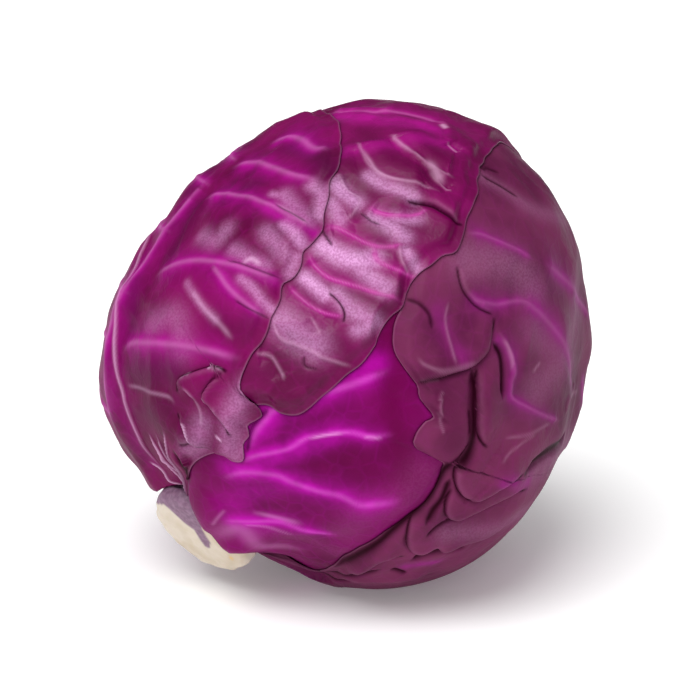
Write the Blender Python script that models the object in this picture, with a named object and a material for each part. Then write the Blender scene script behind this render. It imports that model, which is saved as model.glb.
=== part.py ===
# A red cabbage head lying on its side: cut stem, tight inner head and the outer leaves that wrap it.
# Metres, +Z up. The origin is the middle of the small flat spot that the head rests on.
# Every surface is a radius over the directions from the head's centre. A direction is given by two
# angles in degrees: polar, from the stem's axis (0) to the crown (180), and turn, round that axis from
# the side that faces the viewer (0), positive towards the right and the floor.

import math

import bpy
import numpy as np

# Driving dimensions
OUTLINE_RADII = [0.0807, 0.0853, 0.0878, 0.0855, 0.0840, 0.0767, 0.0726, 0.0719, 0.0742,
                 0.0794, 0.0818, 0.0813, 0.0787, 0.0783, 0.0828, 0.0838, 0.0837, 0.0804]
HALF_DEPTH = 0.0800
VIEW_RISE = math.radians(18)
CENTRE_HEIGHT = 0.0787
CENTRE_OFFSET = (-0.0034, -0.0004)
SAG_DEPTH = 0.0024
SAG_REACH = math.radians(15)
SAG_WAY = (-0.18, 0.02, -1.0)
STEM_DIP = math.radians(44)
STEM_BEARING = math.radians(212)
INNER_DEPTH = 0.0040
STEM_DIMPLE = 0.0080
STEM_DIMPLE_REACH = math.radians(26)
LEAF_THICKNESS = 0.0011
LEAF_GAP = 0.0010
STEM_CLEARANCE = 0.0012
STEM_RADIUS = 0.0185
STEM_NECK_RADIUS = 0.0172
STEM_SHOULDER = 0.0740
STEM_END = 0.0820
STEM_CUT_SLANT = math.radians(16)
STEM_ROOT = 0.0600
STEM_ROOT_RADIUS = 0.0300
STEM_COLLAR, STEM_COLLAR_RADIUS = 0.0630, 0.0210
STEM_NECK = 0.0655
STEM_BEVEL = 0.0035
INNER_CELLS = 10
STEM_SIDES = 32

# How far a leaf's cover fades past its margin, and the swelling of leaf bases at the stem
MARGIN_FADE = math.radians(18)
BASE_FADE = math.radians(10)
BASE_POLAR = math.radians(14)
BASE_REACH = math.radians(9)
BASE_SWELL = 0.0012
FLARE_REACH = math.radians(12)
RIB_WIDTH = 0.0050
UNDERLAY = 1.8
RESTING_CLEARANCE = LEAF_THICKNESS + LEAF_GAP * 1.2

# Directions in the world
RIGHT = np.array([1.0, 0.0, 0.0])
UPWARD = np.array([0.0, math.sin(VIEW_RISE), math.cos(VIEW_RISE)])
VIEWER = np.array([0.0, -math.cos(VIEW_RISE), math.sin(VIEW_RISE)])
STEM_AXIS = np.array([math.cos(STEM_DIP) * math.cos(STEM_BEARING),
                      math.cos(STEM_DIP) * math.sin(STEM_BEARING),
                      -math.sin(STEM_DIP)])
FRONT_SIDE = VIEWER - VIEWER.dot(STEM_AXIS) * STEM_AXIS
FRONT_SIDE /= np.linalg.norm(FRONT_SIDE)
RIGHT_SIDE = np.cross(FRONT_SIDE, STEM_AXIS)
CENTRE = np.array([*CENTRE_OFFSET, CENTRE_HEIGHT])

# Each leaf, from the innermost to the outermost. margin lists (polar, turn) points round the leaf,
# midrib runs from its base to its tip, and each fold is (height, width, points along it). flare is how
# far the base reaches along the stump, round a turn and over how many degrees of it. grid_turn lays
# the leaf's grid along its folds.
LEAVES = [
    {
        "name": "low_front_leaf",
        "colour": (0.26, 0.003, 0.17, 1.0),
        "cells": 14,
        "centre": (66, 22),
        "margin": [(15, 25), (15, 0), (18, -18), (32, -17), (52, -40), (80, -46), (108, -32),
                   (124, 4), (118, 44), (96, 70), (66, 82), (38, 84), (22, 80), (16, 55)],
        "midrib": [(14, 34), (34, 34), (62, 38), (92, 34)],
        "rib": 0.0018,
        "flare": (0.0095, 8, 42),
        "waves": (0.0, 5, 0.0),
        "folds": [(0.0012, 0.009, [(24, 6), (44, 2), (62, 8), (80, 20)]),
                  (0.0012, 0.008, [(20, 20), (40, 18), (62, 24), (84, 30)])],
    },
    {
        "name": "back_leaf",
        "colour": (0.14, 0.012, 0.075, 1.0),
        "cells": 14,
        "centre": (82, 165),
        "margin": [(15, 165), (16, 130), (34, 98), (62, 96), (96, 104), (128, 118), (148, 160),
                   (140, -150), (108, -132), (72, -132), (38, -136), (17, -158)],
        "midrib": [(14, 165), (50, 165), (90, 163), (128, 160)],
        "rib": 0.0020,
        "waves": (0.0010, 9, 0.4),
        "folds": [],
    },
    {
        "name": "back_left_leaf",
        "colour": (0.16, 0.010, 0.085, 1.0),
        "cells": 14,
        "centre": (92, -138),
        "margin": [(15, -138), (16, -172), (36, 168), (66, 162), (100, 164), (132, 176), (157, -150),
                   (142, -92), (112, -80), (76, -84), (42, -92), (18, -104)],
        "midrib": [(14, -138), (52, -137), (96, -140), (136, -142)],
        "rib": 0.0020,
        "waves": (0.0014, 11, 1.9),
        "folds": [(0.0016, 0.011, [(60, -160), (90, -170), (118, -178)]),
                  (0.0016, 0.011, [(56, -116), (88, -104), (112, -98)])],
    },
    {
        "name": "right_leaf",
        "colour": (0.15, 0.016, 0.085, 1.0),
        "cells": 32,
        "grid_turn": -37,
        "centre": (98, 82),
        "margin": [(15, 110), (16, 84), (26, 72), (35, 61), (46, 49), (62, 43), (75, 35), (80, 25), (85, 16),
                   (90, 8), (99, 4), (116, -6), (136, -18), (158, -30), (166, -100), (160, 170),
                   (140, 158), (112, 154), (80, 154), (48, 156), (26, 154), (16, 142)],
        "midrib": [(15, 112), (48, 110), (90, 104), (128, 92)],
        "rib": 0.0020,
        "waves": (0.0008, 13, 0.7),
        "folds": [(0.0042, 0.0070, [(76, 44), (86, 51), (97, 58), (108, 68)]),
                  (0.0042, 0.0068, [(66, 55), (78, 62), (90, 70), (102, 80)]),
                  (0.0038, 0.0070, [(50, 62), (64, 72), (80, 82), (94, 93)]),
                  (0.0032, 0.0065, [(104, 28), (100, 36), (98, 42), (100, 52), (103, 62)]),
                  (0.0030, 0.0090, [(96, 14), (90, 15), (86, 20)]),
                  (0.0030, 0.0065, [(88, 30), (80, 32), (74, 37)]),
                  (0.0014, 0.0080, [(118, 30), (124, 50), (120, 72)])],
    },
    {
        "name": "crown_leaf",
        "colour": (0.22, 0.020, 0.13, 1.0),
        "cells": 24,
        "centre": (112, -52),
        "margin": [(15, -82), (16, -58), (30, -38), (46, -20), (58, -7), (62, 1), (70, 4), (84, 6), (98, 4),
                   (110, 4), (124, 3), (140, -2), (154, -4), (166, 0), (171, 110), (158, 172),
                   (132, -160), (100, -146), (66, -134), (34, -118), (17, -110)],
        "midrib": [(15, -84), (58, -76), (100, -72), (140, -76)],
        "rib": 0.0016,
        "waves": (0.0, 5, 0.0),
        "folds": [(0.0022, 0.0055, [(124, -32), (118, -21), (119, -13), (123, -3)]),
                  (0.0022, 0.0055, [(134, -32), (127, -18), (130, -5)]),
                  (0.0018, 0.0055, [(104, -22), (98, -15), (97, -5), (99, 1)]),
                  (0.0018, 0.0055, [(94, -21), (90, -13), (86, -3)]),
                  (0.0016, 0.0060, [(82, -20), (78, -12), (74, -3)]),
                  (0.0018, 0.0060, [(146, -60), (148, -34), (150, -12)]),
                  (0.0014, 0.0070, [(150, 150), (140, 178), (122, -168)])],
    },
    {
        "name": "left_leaf",
        "colour": (0.15, 0.010, 0.085, 1.0),
        "cells": 22,
        "centre": (80, -74),
        "margin": [(15, -70), (16, -38), (24, -26), (33, -21), (39, -12), (43, -5), (50, -6), (57, -7), (59, -14),
                   (66, -17), (78, -18), (92, -21), (102, -23), (112, -28), (127, -42), (136, -64),
                   (128, -98), (106, -120), (80, -128), (54, -128), (32, -122), (17, -102)],
        "midrib": [(14, -80), (34, -73), (62, -71), (92, -68), (122, -68)],
        "rib": 0.0026,
        "flare": (0.0020, -60, 60),
        "waves": (0.0, 5, 0.0),
        "folds": [(0.0026, 0.0050, [(52, -34), (57, -28), (60, -20)]),
                  (0.0026, 0.0050, [(53, -22), (51, -15), (48, -10)]),
                  (0.0020, 0.0060, [(40, -26), (44, -18), (44, -9)]),
                  (0.0012, 0.0060, [(72, -68), (78, -48), (80, -33), (83, -20)]),
                  (0.0012, 0.0060, [(52, -65), (58, -44), (63, -30), (66, -18)]),
                  (0.0012, 0.0060, [(96, -56), (101, -36), (100, -22)])],
    },
]


def smooth_step(value):
    """0 below 0, 1 above 1, and a smooth S between."""
    held = np.clip(value, 0.0, 1.0)
    return held * held * (3.0 - 2.0 * held)


def heading(polar, turn):
    """Unit direction from the head's centre for the two angles in degrees."""
    polar, turn = math.radians(polar), math.radians(turn)
    across = math.cos(turn) * FRONT_SIDE + math.sin(turn) * RIGHT_SIDE
    return math.cos(polar) * STEM_AXIS + math.sin(polar) * across


def polar_angle(ways):
    """Angle of each direction from the stem's axis, in radians."""
    return np.arccos(np.clip(ways @ STEM_AXIS, -1.0, 1.0))


def turn_angle(ways):
    """Angle of each direction round the stem's axis from the viewer's side, in degrees."""
    return np.degrees(np.arctan2(ways @ RIGHT_SIDE, ways @ FRONT_SIDE))


def outline_radius(angle):
    """Radius of the head's outline at an angle in the viewer's plane, a sum of cosines through the list."""
    count = len(OUTLINE_RADII)
    terms = np.fft.rfft(OUTLINE_RADII) / count
    radius = np.full(np.shape(angle), terms[0].real)
    for order in range(1, len(terms)):
        share = 1.0 if 2 * order == count else 2.0
        radius = radius + share * (terms[order].real * np.cos(order * angle)
                                   - terms[order].imag * np.sin(order * angle))
    return radius


def form_radius(ways):
    """Radius of the whole head in each direction: an ellipse from its outline to its half depth, a
    little fuller underneath, where its weight settles."""
    right, up, toward = ways @ RIGHT, ways @ UPWARD, ways @ VIEWER
    outline = outline_radius(np.arctan2(up, right))
    ellipse = 1.0 / np.sqrt((right ** 2 + up ** 2) / outline ** 2 + toward ** 2 / HALF_DEPTH ** 2)
    from_sag = np.arccos(np.clip(ways @ np.array(SAG_WAY) / np.linalg.norm(SAG_WAY), -1.0, 1.0))
    return ellipse + SAG_DEPTH * np.exp(-(from_sag / SAG_REACH) ** 2)


def inner_radius(ways):
    """Radius of the tight inner head, which dips where the leaf bases crowd round the stem."""
    dimple = STEM_DIMPLE * np.exp(-(polar_angle(ways) / STEM_DIMPLE_REACH) ** 2)
    return form_radius(ways) - INNER_DEPTH - dimple


def distance_to_path(ways, points):
    """Distance in metres, at the head's surface, from each direction to a path of (polar, turn) points."""
    corners = [heading(*point) for point in points]
    nearest = np.full(len(ways), 9.0)
    for start, end in zip(corners, corners[1:]):
        step = end - start
        along = np.clip((ways - start) @ step / step.dot(step), 0.0, 1.0)
        nearest = np.minimum(nearest, np.linalg.norm(ways - start - along[:, None] * step, axis=1))
    return nearest * HALF_DEPTH


class Leaf:
    """One wrapper leaf: its margin round its centre, its folds, its ribs and its cover over the head."""

    def __init__(self, facts):
        self.facts = facts
        self.middle = heading(*facts["centre"])
        stemward = STEM_AXIS - STEM_AXIS.dot(self.middle) * self.middle
        self.stemward = stemward / np.linalg.norm(stemward)
        self.sideways = np.cross(self.middle, self.stemward)
        reach, bearing = self.chart(np.array([heading(*point) for point in facts["margin"]]))
        order = np.argsort(bearing)
        full = 2 * math.pi
        self.bearings = np.concatenate([bearing[order][-2:] - full, bearing[order], bearing[order][:2] + full])
        self.reaches = np.concatenate([reach[order][-2:], reach[order], reach[order][:2]])
        rise = (self.reaches[2:] - self.reaches[:-2]) / (self.bearings[2:] - self.bearings[:-2])
        self.slopes = np.concatenate([[0.0], rise, [0.0]])

    def chart(self, ways):
        """Angle from the leaf's centre, and bearing round it from the stem's side."""
        reach = np.arccos(np.clip(ways @ self.middle, -1.0, 1.0))
        return reach, np.arctan2(ways @ self.sideways, ways @ self.stemward)

    def margin_reach(self, bearing):
        """Reach of the margin at each bearing: a cubic through the margin's points, closed on itself."""
        at = np.clip(np.searchsorted(self.bearings, bearing) - 1, 1, len(self.bearings) - 3)
        width = self.bearings[at + 1] - self.bearings[at]
        t = (bearing - self.bearings[at]) / width
        return ((2 * t ** 3 - 3 * t ** 2 + 1) * self.reaches[at]
                + (t ** 3 - 2 * t ** 2 + t) * width * self.slopes[at]
                + (3 * t ** 2 - 2 * t ** 3) * self.reaches[at + 1]
                + (t ** 3 - t ** 2) * width * self.slopes[at + 1])

    def cover(self, ways):
        """1 over the leaf, fading to 0 a little past its margin, so that the next leaf rides up on it."""
        reach, bearing = self.chart(ways)
        up_the_head = smooth_step(polar_angle(ways) / math.radians(60))
        fade = BASE_FADE + (MARGIN_FADE - BASE_FADE) * up_the_head
        return smooth_step(1.0 - (reach - self.margin_reach(bearing)) / fade)

    def lift(self, ways, widening=1.0):
        """How far folds, margin waves and the flare along the stump raise the leaf from what lies under it."""
        height, count, phase = self.facts["waves"]
        reach, bearing = self.chart(ways)
        band = smooth_step((reach / self.margin_reach(bearing) - 0.7) / 0.25)
        raised = height * band * (0.5 + 0.5 * np.sin(count * bearing + phase))
        for fold_height, width, points in self.facts["folds"]:
            away = distance_to_path(ways, points) / (width * widening)
            raised = np.maximum(raised, fold_height * np.exp(-away ** 2))
        reach, toward, spread = self.facts.get("flare", (0.0, 0, 60))
        from_base = (polar_angle(ways) - BASE_POLAR) / FLARE_REACH
        from_turn = ((turn_angle(ways) - toward + 180) % 360 - 180) / spread
        return raised + reach * np.exp(-from_base ** 2 - from_turn ** 2)

    def thickness(self, ways, widening=1.0):
        """Blade, with the midrib and the swollen base added on its outer side."""
        polar = polar_angle(ways)
        away = distance_to_path(ways, self.facts["midrib"]) / (RIB_WIDTH * widening)
        rib = self.facts["rib"] * np.exp(-away ** 2)
        taper = 1.0 - smooth_step((polar - math.radians(30)) / math.radians(100))
        swell = BASE_SWELL * np.exp(-((polar - BASE_POLAR) / BASE_REACH) ** 2)
        return LEAF_THICKNESS + rib * taper + swell

    def directions(self):
        """The leaf's grid: a square of cells pressed into a disc, then stretched to the margin."""
        cells = self.facts["cells"]
        line = np.linspace(-1.0, 1.0, cells + 1)
        across, along = np.meshgrid(line, line, indexing="ij")
        wide = np.abs(across) > np.abs(along)
        safe_across = np.where(across == 0, 1.0, across)
        safe_along = np.where(along == 0, 1.0, along)
        radius = np.where(wide, across, along)
        angle = np.where(wide, math.pi / 4 * along / safe_across,
                         math.pi / 2 - math.pi / 4 * across / safe_along)
        turned = angle + math.radians(self.facts.get("grid_turn", 0))
        bearing = np.angle(radius * np.exp(1j * turned)).ravel()
        reach = np.abs(radius).ravel() * self.margin_reach(bearing)
        around = np.cos(bearing)[:, None] * self.stemward + np.sin(bearing)[:, None] * self.sideways
        return np.cos(reach)[:, None] * self.middle + np.sin(reach)[:, None] * around


def stack_top(ways, leaves):
    """Radius that clears the inner head and these leaves. The next leaf bridges their folds and ribs,
    so they count here as wider than they are."""
    top = inner_radius(ways)
    for leaf in leaves:
        relief = leaf.lift(ways, UNDERLAY) + leaf.thickness(ways, UNDERLAY)
        top = top + leaf.cover(ways) * (relief + LEAF_GAP)
    return top


def points_at(ways, radii, lowest):
    """World points at these radii, kept clear of the stem and at or above a height over the floor."""
    along = np.outer(radii * (ways @ STEM_AXIS), STEM_AXIS)
    across = ways * radii[:, None] - along
    off_axis = np.linalg.norm(across, axis=1)
    wanted = np.where(ways @ STEM_AXIS > 0, STEM_RADIUS + STEM_CLEARANCE, 0.0)
    points = CENTRE + along + across * (np.maximum(off_axis, wanted) / np.maximum(off_axis, 1e-9))[:, None]
    points[:, 2] = np.maximum(points[:, 2], lowest)
    return points


def add_solid(name, points, faces, colour, roughness):
    """An object made of these points and faces, shaded smooth, with its own material."""
    mesh = bpy.data.meshes.new(name)
    mesh.from_pydata(points.tolist(), [], faces)
    mesh.validate()
    mesh.shade_smooth()
    mesh.set_sharp_from_angle(angle=math.radians(50))
    material = bpy.data.materials.new(name + "_skin")
    material.use_nodes = True
    shader = material.node_tree.nodes["Principled BSDF"]
    shader.inputs["Base Color"].default_value = colour
    shader.inputs["Roughness"].default_value = roughness
    shader.inputs["Metallic"].default_value = 0.0
    mesh.materials.append(material)
    solid = bpy.data.objects.new(name, mesh)
    bpy.context.scene.collection.objects.link(solid)
    return solid


def grid_triangles(cells, first, outward):
    """Two triangles a cell, cut along the same diagonal on every face of the leaf."""
    corner = first + np.arange(cells)[:, None] * (cells + 1) + np.arange(cells)[None, :]
    a, b = corner.ravel(), corner.ravel() + cells + 1
    c, d = b + 1, a + 1
    triangles = np.concatenate([np.stack([a, b, c], axis=1), np.stack([a, c, d], axis=1)])
    return triangles if outward else triangles[:, ::-1]


def rim_walk(cells):
    """Numbers of the grid's edge points, in order once round."""
    row = cells + 1
    side = np.arange(cells)
    return np.concatenate([side * row, cells * row + side, (cells - side) * row + cells, cells - side])


def add_leaf(leaf, below):
    """The blade between its lower and outer faces, closed by its rim."""
    ways = leaf.directions()
    resting = leaf.facts["name"] == "right_leaf"
    lower = stack_top(ways, below) + leaf.lift(ways)
    upper = lower + leaf.thickness(ways)
    cells = leaf.facts["cells"]
    count = (cells + 1) ** 2
    outer_points = points_at(ways, upper, 0.0 if resting else RESTING_CLEARANCE + LEAF_THICKNESS)
    inner_points = points_at(ways, lower, LEAF_THICKNESS if resting else RESTING_CLEARANCE)
    outer = grid_triangles(cells, 0, True)
    edge_ab = outer_points[outer[:, 1]] - outer_points[outer[:, 0]]
    edge_ac = outer_points[outer[:, 2]] - outer_points[outer[:, 0]]
    facing_out = (np.cross(edge_ab, edge_ac) * ways[outer[:, 0]]).sum() > 0
    walk = rim_walk(cells)
    after = np.roll(walk, -1)
    rim = np.concatenate([np.stack([walk, walk + count, after], axis=1),
                          np.stack([after, walk + count, after + count], axis=1)])
    faces = np.concatenate([outer, grid_triangles(cells, count, False), rim])
    if not facing_out:
        faces = faces[:, ::-1]
    points = np.concatenate([outer_points, inner_points])
    return add_solid(leaf.facts["name"], points, faces.tolist(), leaf.facts["colour"], 0.42)


def add_inner_head():
    """The tight head inside: a cube's six faces blown up to its form, cut flat where the stem enters."""
    line = np.tan(np.linspace(-math.pi / 4, math.pi / 4, INNER_CELLS + 1))
    across, along = np.meshgrid(line, line, indexing="ij")
    ones = np.ones_like(across)
    sheets = [np.stack(order, axis=-1).reshape(-1, 3) for order in (
        (ones, across, along), (-ones, along, across), (along, ones, across),
        (across, -ones, along), (across, along, ones), (along, across, -ones))]
    count = (INNER_CELLS + 1) ** 2
    ways = np.concatenate(sheets)
    faces = np.concatenate([grid_triangles(INNER_CELLS, i * count, True) for i in range(6)])
    _, first, index = np.unique(np.round(ways, 6), axis=0, return_index=True, return_inverse=True)
    ways = ways[first] / np.linalg.norm(ways[first], axis=1)[:, None]
    faces = index.reshape(-1)[faces]
    points = CENTRE + ways * (inner_radius(ways) - LEAF_GAP)[:, None]
    points[:, 2] = np.maximum(points[:, 2], RESTING_CLEARANCE)
    past = (points - CENTRE) @ STEM_AXIS - (STEM_ROOT - LEAF_GAP)
    points -= np.maximum(past, 0.0)[:, None] * STEM_AXIS
    return add_solid("inner_head", points, faces.tolist(), (0.30, 0.06, 0.22, 1.0), 0.5)


def add_stem():
    """The stump: a turned profile from its wide root to the rounded rim, its end cut at a slant."""
    profile = [(STEM_ROOT, 0.0), (STEM_ROOT, STEM_ROOT_RADIUS), (STEM_COLLAR, STEM_COLLAR_RADIUS),
               (STEM_NECK, STEM_NECK_RADIUS), (STEM_SHOULDER - STEM_CLEARANCE, STEM_NECK_RADIUS),
               (STEM_SHOULDER, STEM_RADIUS), (STEM_END - STEM_BEVEL, STEM_RADIUS),
               (STEM_END - 0.3 * STEM_BEVEL, STEM_RADIUS - 0.3 * STEM_BEVEL),
               (STEM_END, STEM_RADIUS - STEM_BEVEL), (STEM_END, STEM_RADIUS / 2), (STEM_END, 0.0)]
    points, rings = [], []
    for along, radius in profile:
        sides = STEM_SIDES if radius else 1
        turns = np.arange(sides) * 2 * math.pi / sides
        toward, beside = radius * np.cos(turns), radius * np.sin(turns)
        cut = max(0.0, (along - STEM_SHOULDER) / (STEM_END - STEM_SHOULDER))
        slant = -math.tan(STEM_CUT_SLANT) * cut * toward
        rings.append(range(len(points), len(points) + sides))
        points += list((along + slant)[:, None] * STEM_AXIS + toward[:, None] * FRONT_SIDE
                       + beside[:, None] * RIGHT_SIDE)
    faces = []
    for here, beyond in zip(rings, rings[1:]):
        for i in range(STEM_SIDES):
            j = (i + 1) % STEM_SIDES
            quad = [here[i % len(here)], here[j % len(here)], beyond[j % len(beyond)], beyond[i % len(beyond)]]
            corners = list(dict.fromkeys(quad))
            faces += [[corners[0], corners[k + 1], corners[k]] for k in range(1, len(corners) - 1)]
    return add_solid("stem", CENTRE + np.array(points), faces, (0.78, 0.74, 0.58, 1.0), 0.6)


for old in list(bpy.data.objects):
    bpy.data.objects.remove(old, do_unlink=True)
wrappers = [Leaf(facts) for facts in LEAVES]
add_stem()
add_inner_head()
for place, wrapper in enumerate(wrappers):
    add_leaf(wrapper, wrappers[:place])
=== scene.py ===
# %% [markdown]
# # A red cabbage lying on a white table
#
# The CAD model gives the head, its cut stem and six wrapper leaves as plain solids. This lesson grows
# each of them again as a fine piece on the same form: every point of a leaf is a radius along a
# direction from the head's centre. That way a fold, a vein or a torn edge is only a small change of
# that radius near a line drawn on the head, and the leaves still lie on each other as in the CAD model.

import math

import bpy
import numpy as np
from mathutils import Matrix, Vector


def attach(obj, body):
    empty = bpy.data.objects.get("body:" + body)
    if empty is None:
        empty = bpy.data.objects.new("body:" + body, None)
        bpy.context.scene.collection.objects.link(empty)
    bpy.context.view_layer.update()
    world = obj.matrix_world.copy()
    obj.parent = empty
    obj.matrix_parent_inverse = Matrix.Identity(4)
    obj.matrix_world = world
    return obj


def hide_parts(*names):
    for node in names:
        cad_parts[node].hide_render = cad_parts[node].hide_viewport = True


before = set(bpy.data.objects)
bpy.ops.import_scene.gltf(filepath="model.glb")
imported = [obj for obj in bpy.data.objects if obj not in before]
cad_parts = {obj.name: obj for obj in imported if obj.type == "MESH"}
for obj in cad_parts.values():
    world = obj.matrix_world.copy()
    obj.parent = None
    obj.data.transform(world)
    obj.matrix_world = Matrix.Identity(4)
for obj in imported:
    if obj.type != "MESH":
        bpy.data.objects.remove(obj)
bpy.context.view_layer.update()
MM = 0.001
print("CAD nodes:", sorted(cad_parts))

# %% [markdown]
# The head's form. Its outline is a list of radii every 20 degrees as the viewer sees them, its depth is
# 80 mm each way, and the view comes from 18 degrees above the table. It sags underneath, where it rests,
# and dips round its stem. These values are the CAD model's own, so that both have the same size.

# %% Form of the head
OUTLINE_RADII = [0.0807, 0.0853, 0.0878, 0.0855, 0.0840, 0.0767, 0.0726, 0.0719, 0.0742,
                 0.0794, 0.0818, 0.0813, 0.0787, 0.0783, 0.0828, 0.0838, 0.0837, 0.0804]
HALF_DEPTH = 0.0800
VIEW_RISE = math.radians(18)
CENTRE = np.array([-0.0034, -0.0004, 0.0787])
SAG_DEPTH, SAG_REACH, SAG_WAY = 0.0024, math.radians(15), np.array([-0.18, 0.02, -1.0])
STEM_DIP, STEM_BEARING = math.radians(44), math.radians(212)
INNER_DEPTH, STEM_DIMPLE, STEM_DIMPLE_REACH = 0.0040, 0.0080, math.radians(26)
LEAF_THICKNESS, LEAF_GAP, UNDERLAY = 0.0011, 0.0010, 1.8
STEM_RADIUS, STEM_NECK_RADIUS, STEM_CLEARANCE = 0.0185, 0.0172, 0.0012
STEM_ROOT, STEM_SHOULDER, STEM_END = 0.0600, 0.0740, 0.0820
STEM_CUT_SLANT = math.radians(16)
RESTING_CLEARANCE = LEAF_THICKNESS + LEAF_GAP * 1.2

RIGHT = np.array([1.0, 0.0, 0.0])
UPWARD = np.array([0.0, math.sin(VIEW_RISE), math.cos(VIEW_RISE)])
VIEWER = np.array([0.0, -math.cos(VIEW_RISE), math.sin(VIEW_RISE)])
STEM_AXIS = np.array([math.cos(STEM_DIP) * math.cos(STEM_BEARING),
                      math.cos(STEM_DIP) * math.sin(STEM_BEARING),
                      -math.sin(STEM_DIP)])
FRONT_SIDE = VIEWER - VIEWER.dot(STEM_AXIS) * STEM_AXIS
FRONT_SIDE /= np.linalg.norm(FRONT_SIDE)
RIGHT_SIDE = np.cross(FRONT_SIDE, STEM_AXIS)
print("the stem points along", np.round(STEM_AXIS, 2))

# %% [markdown]
# Directions on the head are written as two angles in degrees, as places on a globe are: polar, from the
# stem's axis (0) to the crown (180), and turn, round that axis from the viewer's side, positive towards
# the right and the table. The helpers take whole arrays, so no loop runs over points.

# %% Directions on the head
def smooth_step(value):
    """0 below 0, 1 above 1, and the smooth S 3x2 - 2x3 between."""
    held = np.clip(value, 0.0, 1.0)
    return held * held * (3.0 - 2.0 * held)


def bell(distance, reach):
    """exp(-(distance / reach)^2): 1 on the line, about a third at its reach, nothing at three times it."""
    return np.exp(-(distance / reach) ** 2)


def heading(polar, turn):
    """Unit direction: cos(polar) along the stem's axis, sin(polar) across it at the turn."""
    polar, turn = math.radians(polar), math.radians(turn)
    across = math.cos(turn) * FRONT_SIDE + math.sin(turn) * RIGHT_SIDE
    return math.cos(polar) * STEM_AXIS + math.sin(polar) * across


def polar_angle(ways):
    """Angle between each direction and the stem's axis, in radians."""
    return np.arccos(np.clip(ways @ STEM_AXIS, -1.0, 1.0))


def turn_angle(ways):
    """Angle of each direction round the stem's axis from the viewer's side, in degrees."""
    return np.degrees(np.arctan2(ways @ RIGHT_SIDE, ways @ FRONT_SIDE))


print("the viewer looks at polar angle", round(math.degrees(polar_angle(VIEWER[None])[0])), "degrees")

# %% [markdown]
# The radius of the head in every direction. The outline is a sum of cosines, because that is smooth and
# closes on itself, and an ellipse carries it towards the viewer and away. The tight inner head is the
# same form, a little smaller, with a dimple where the stem comes out.

# %% Radius of the head
def outline_radius(angle):
    """The outline at an angle in the viewer's plane: the sum of cosines that passes through the list."""
    count = len(OUTLINE_RADII)
    terms = np.fft.rfft(OUTLINE_RADII) / count
    radius = np.full(np.shape(angle), terms[0].real)
    for order in range(1, len(terms)):
        share = 1.0 if 2 * order == count else 2.0
        radius = radius + share * (terms[order].real * np.cos(order * angle)
                                   - terms[order].imag * np.sin(order * angle))
    return radius


def form_radius(ways):
    """An ellipse from the outline to the half depth, plus a bell of 2.4 mm underneath where it sags."""
    right, up, toward = ways @ RIGHT, ways @ UPWARD, ways @ VIEWER
    outline = outline_radius(np.arctan2(up, right))
    ellipse = 1.0 / np.sqrt((right ** 2 + up ** 2) / outline ** 2 + toward ** 2 / HALF_DEPTH ** 2)
    from_sag = np.arccos(np.clip(ways @ SAG_WAY / np.linalg.norm(SAG_WAY), -1.0, 1.0))
    return ellipse + SAG_DEPTH * bell(from_sag, SAG_REACH)


def inner_radius(ways):
    """The tight inner head: the form less 4 mm, less a bell of 8 mm round the stem."""
    dimple = STEM_DIMPLE * bell(polar_angle(ways), STEM_DIMPLE_REACH)
    return form_radius(ways) - INNER_DEPTH - dimple


print("form radius towards the viewer, mm:", round(float(form_radius(VIEWER[None])[0]) / MM, 1))
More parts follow.
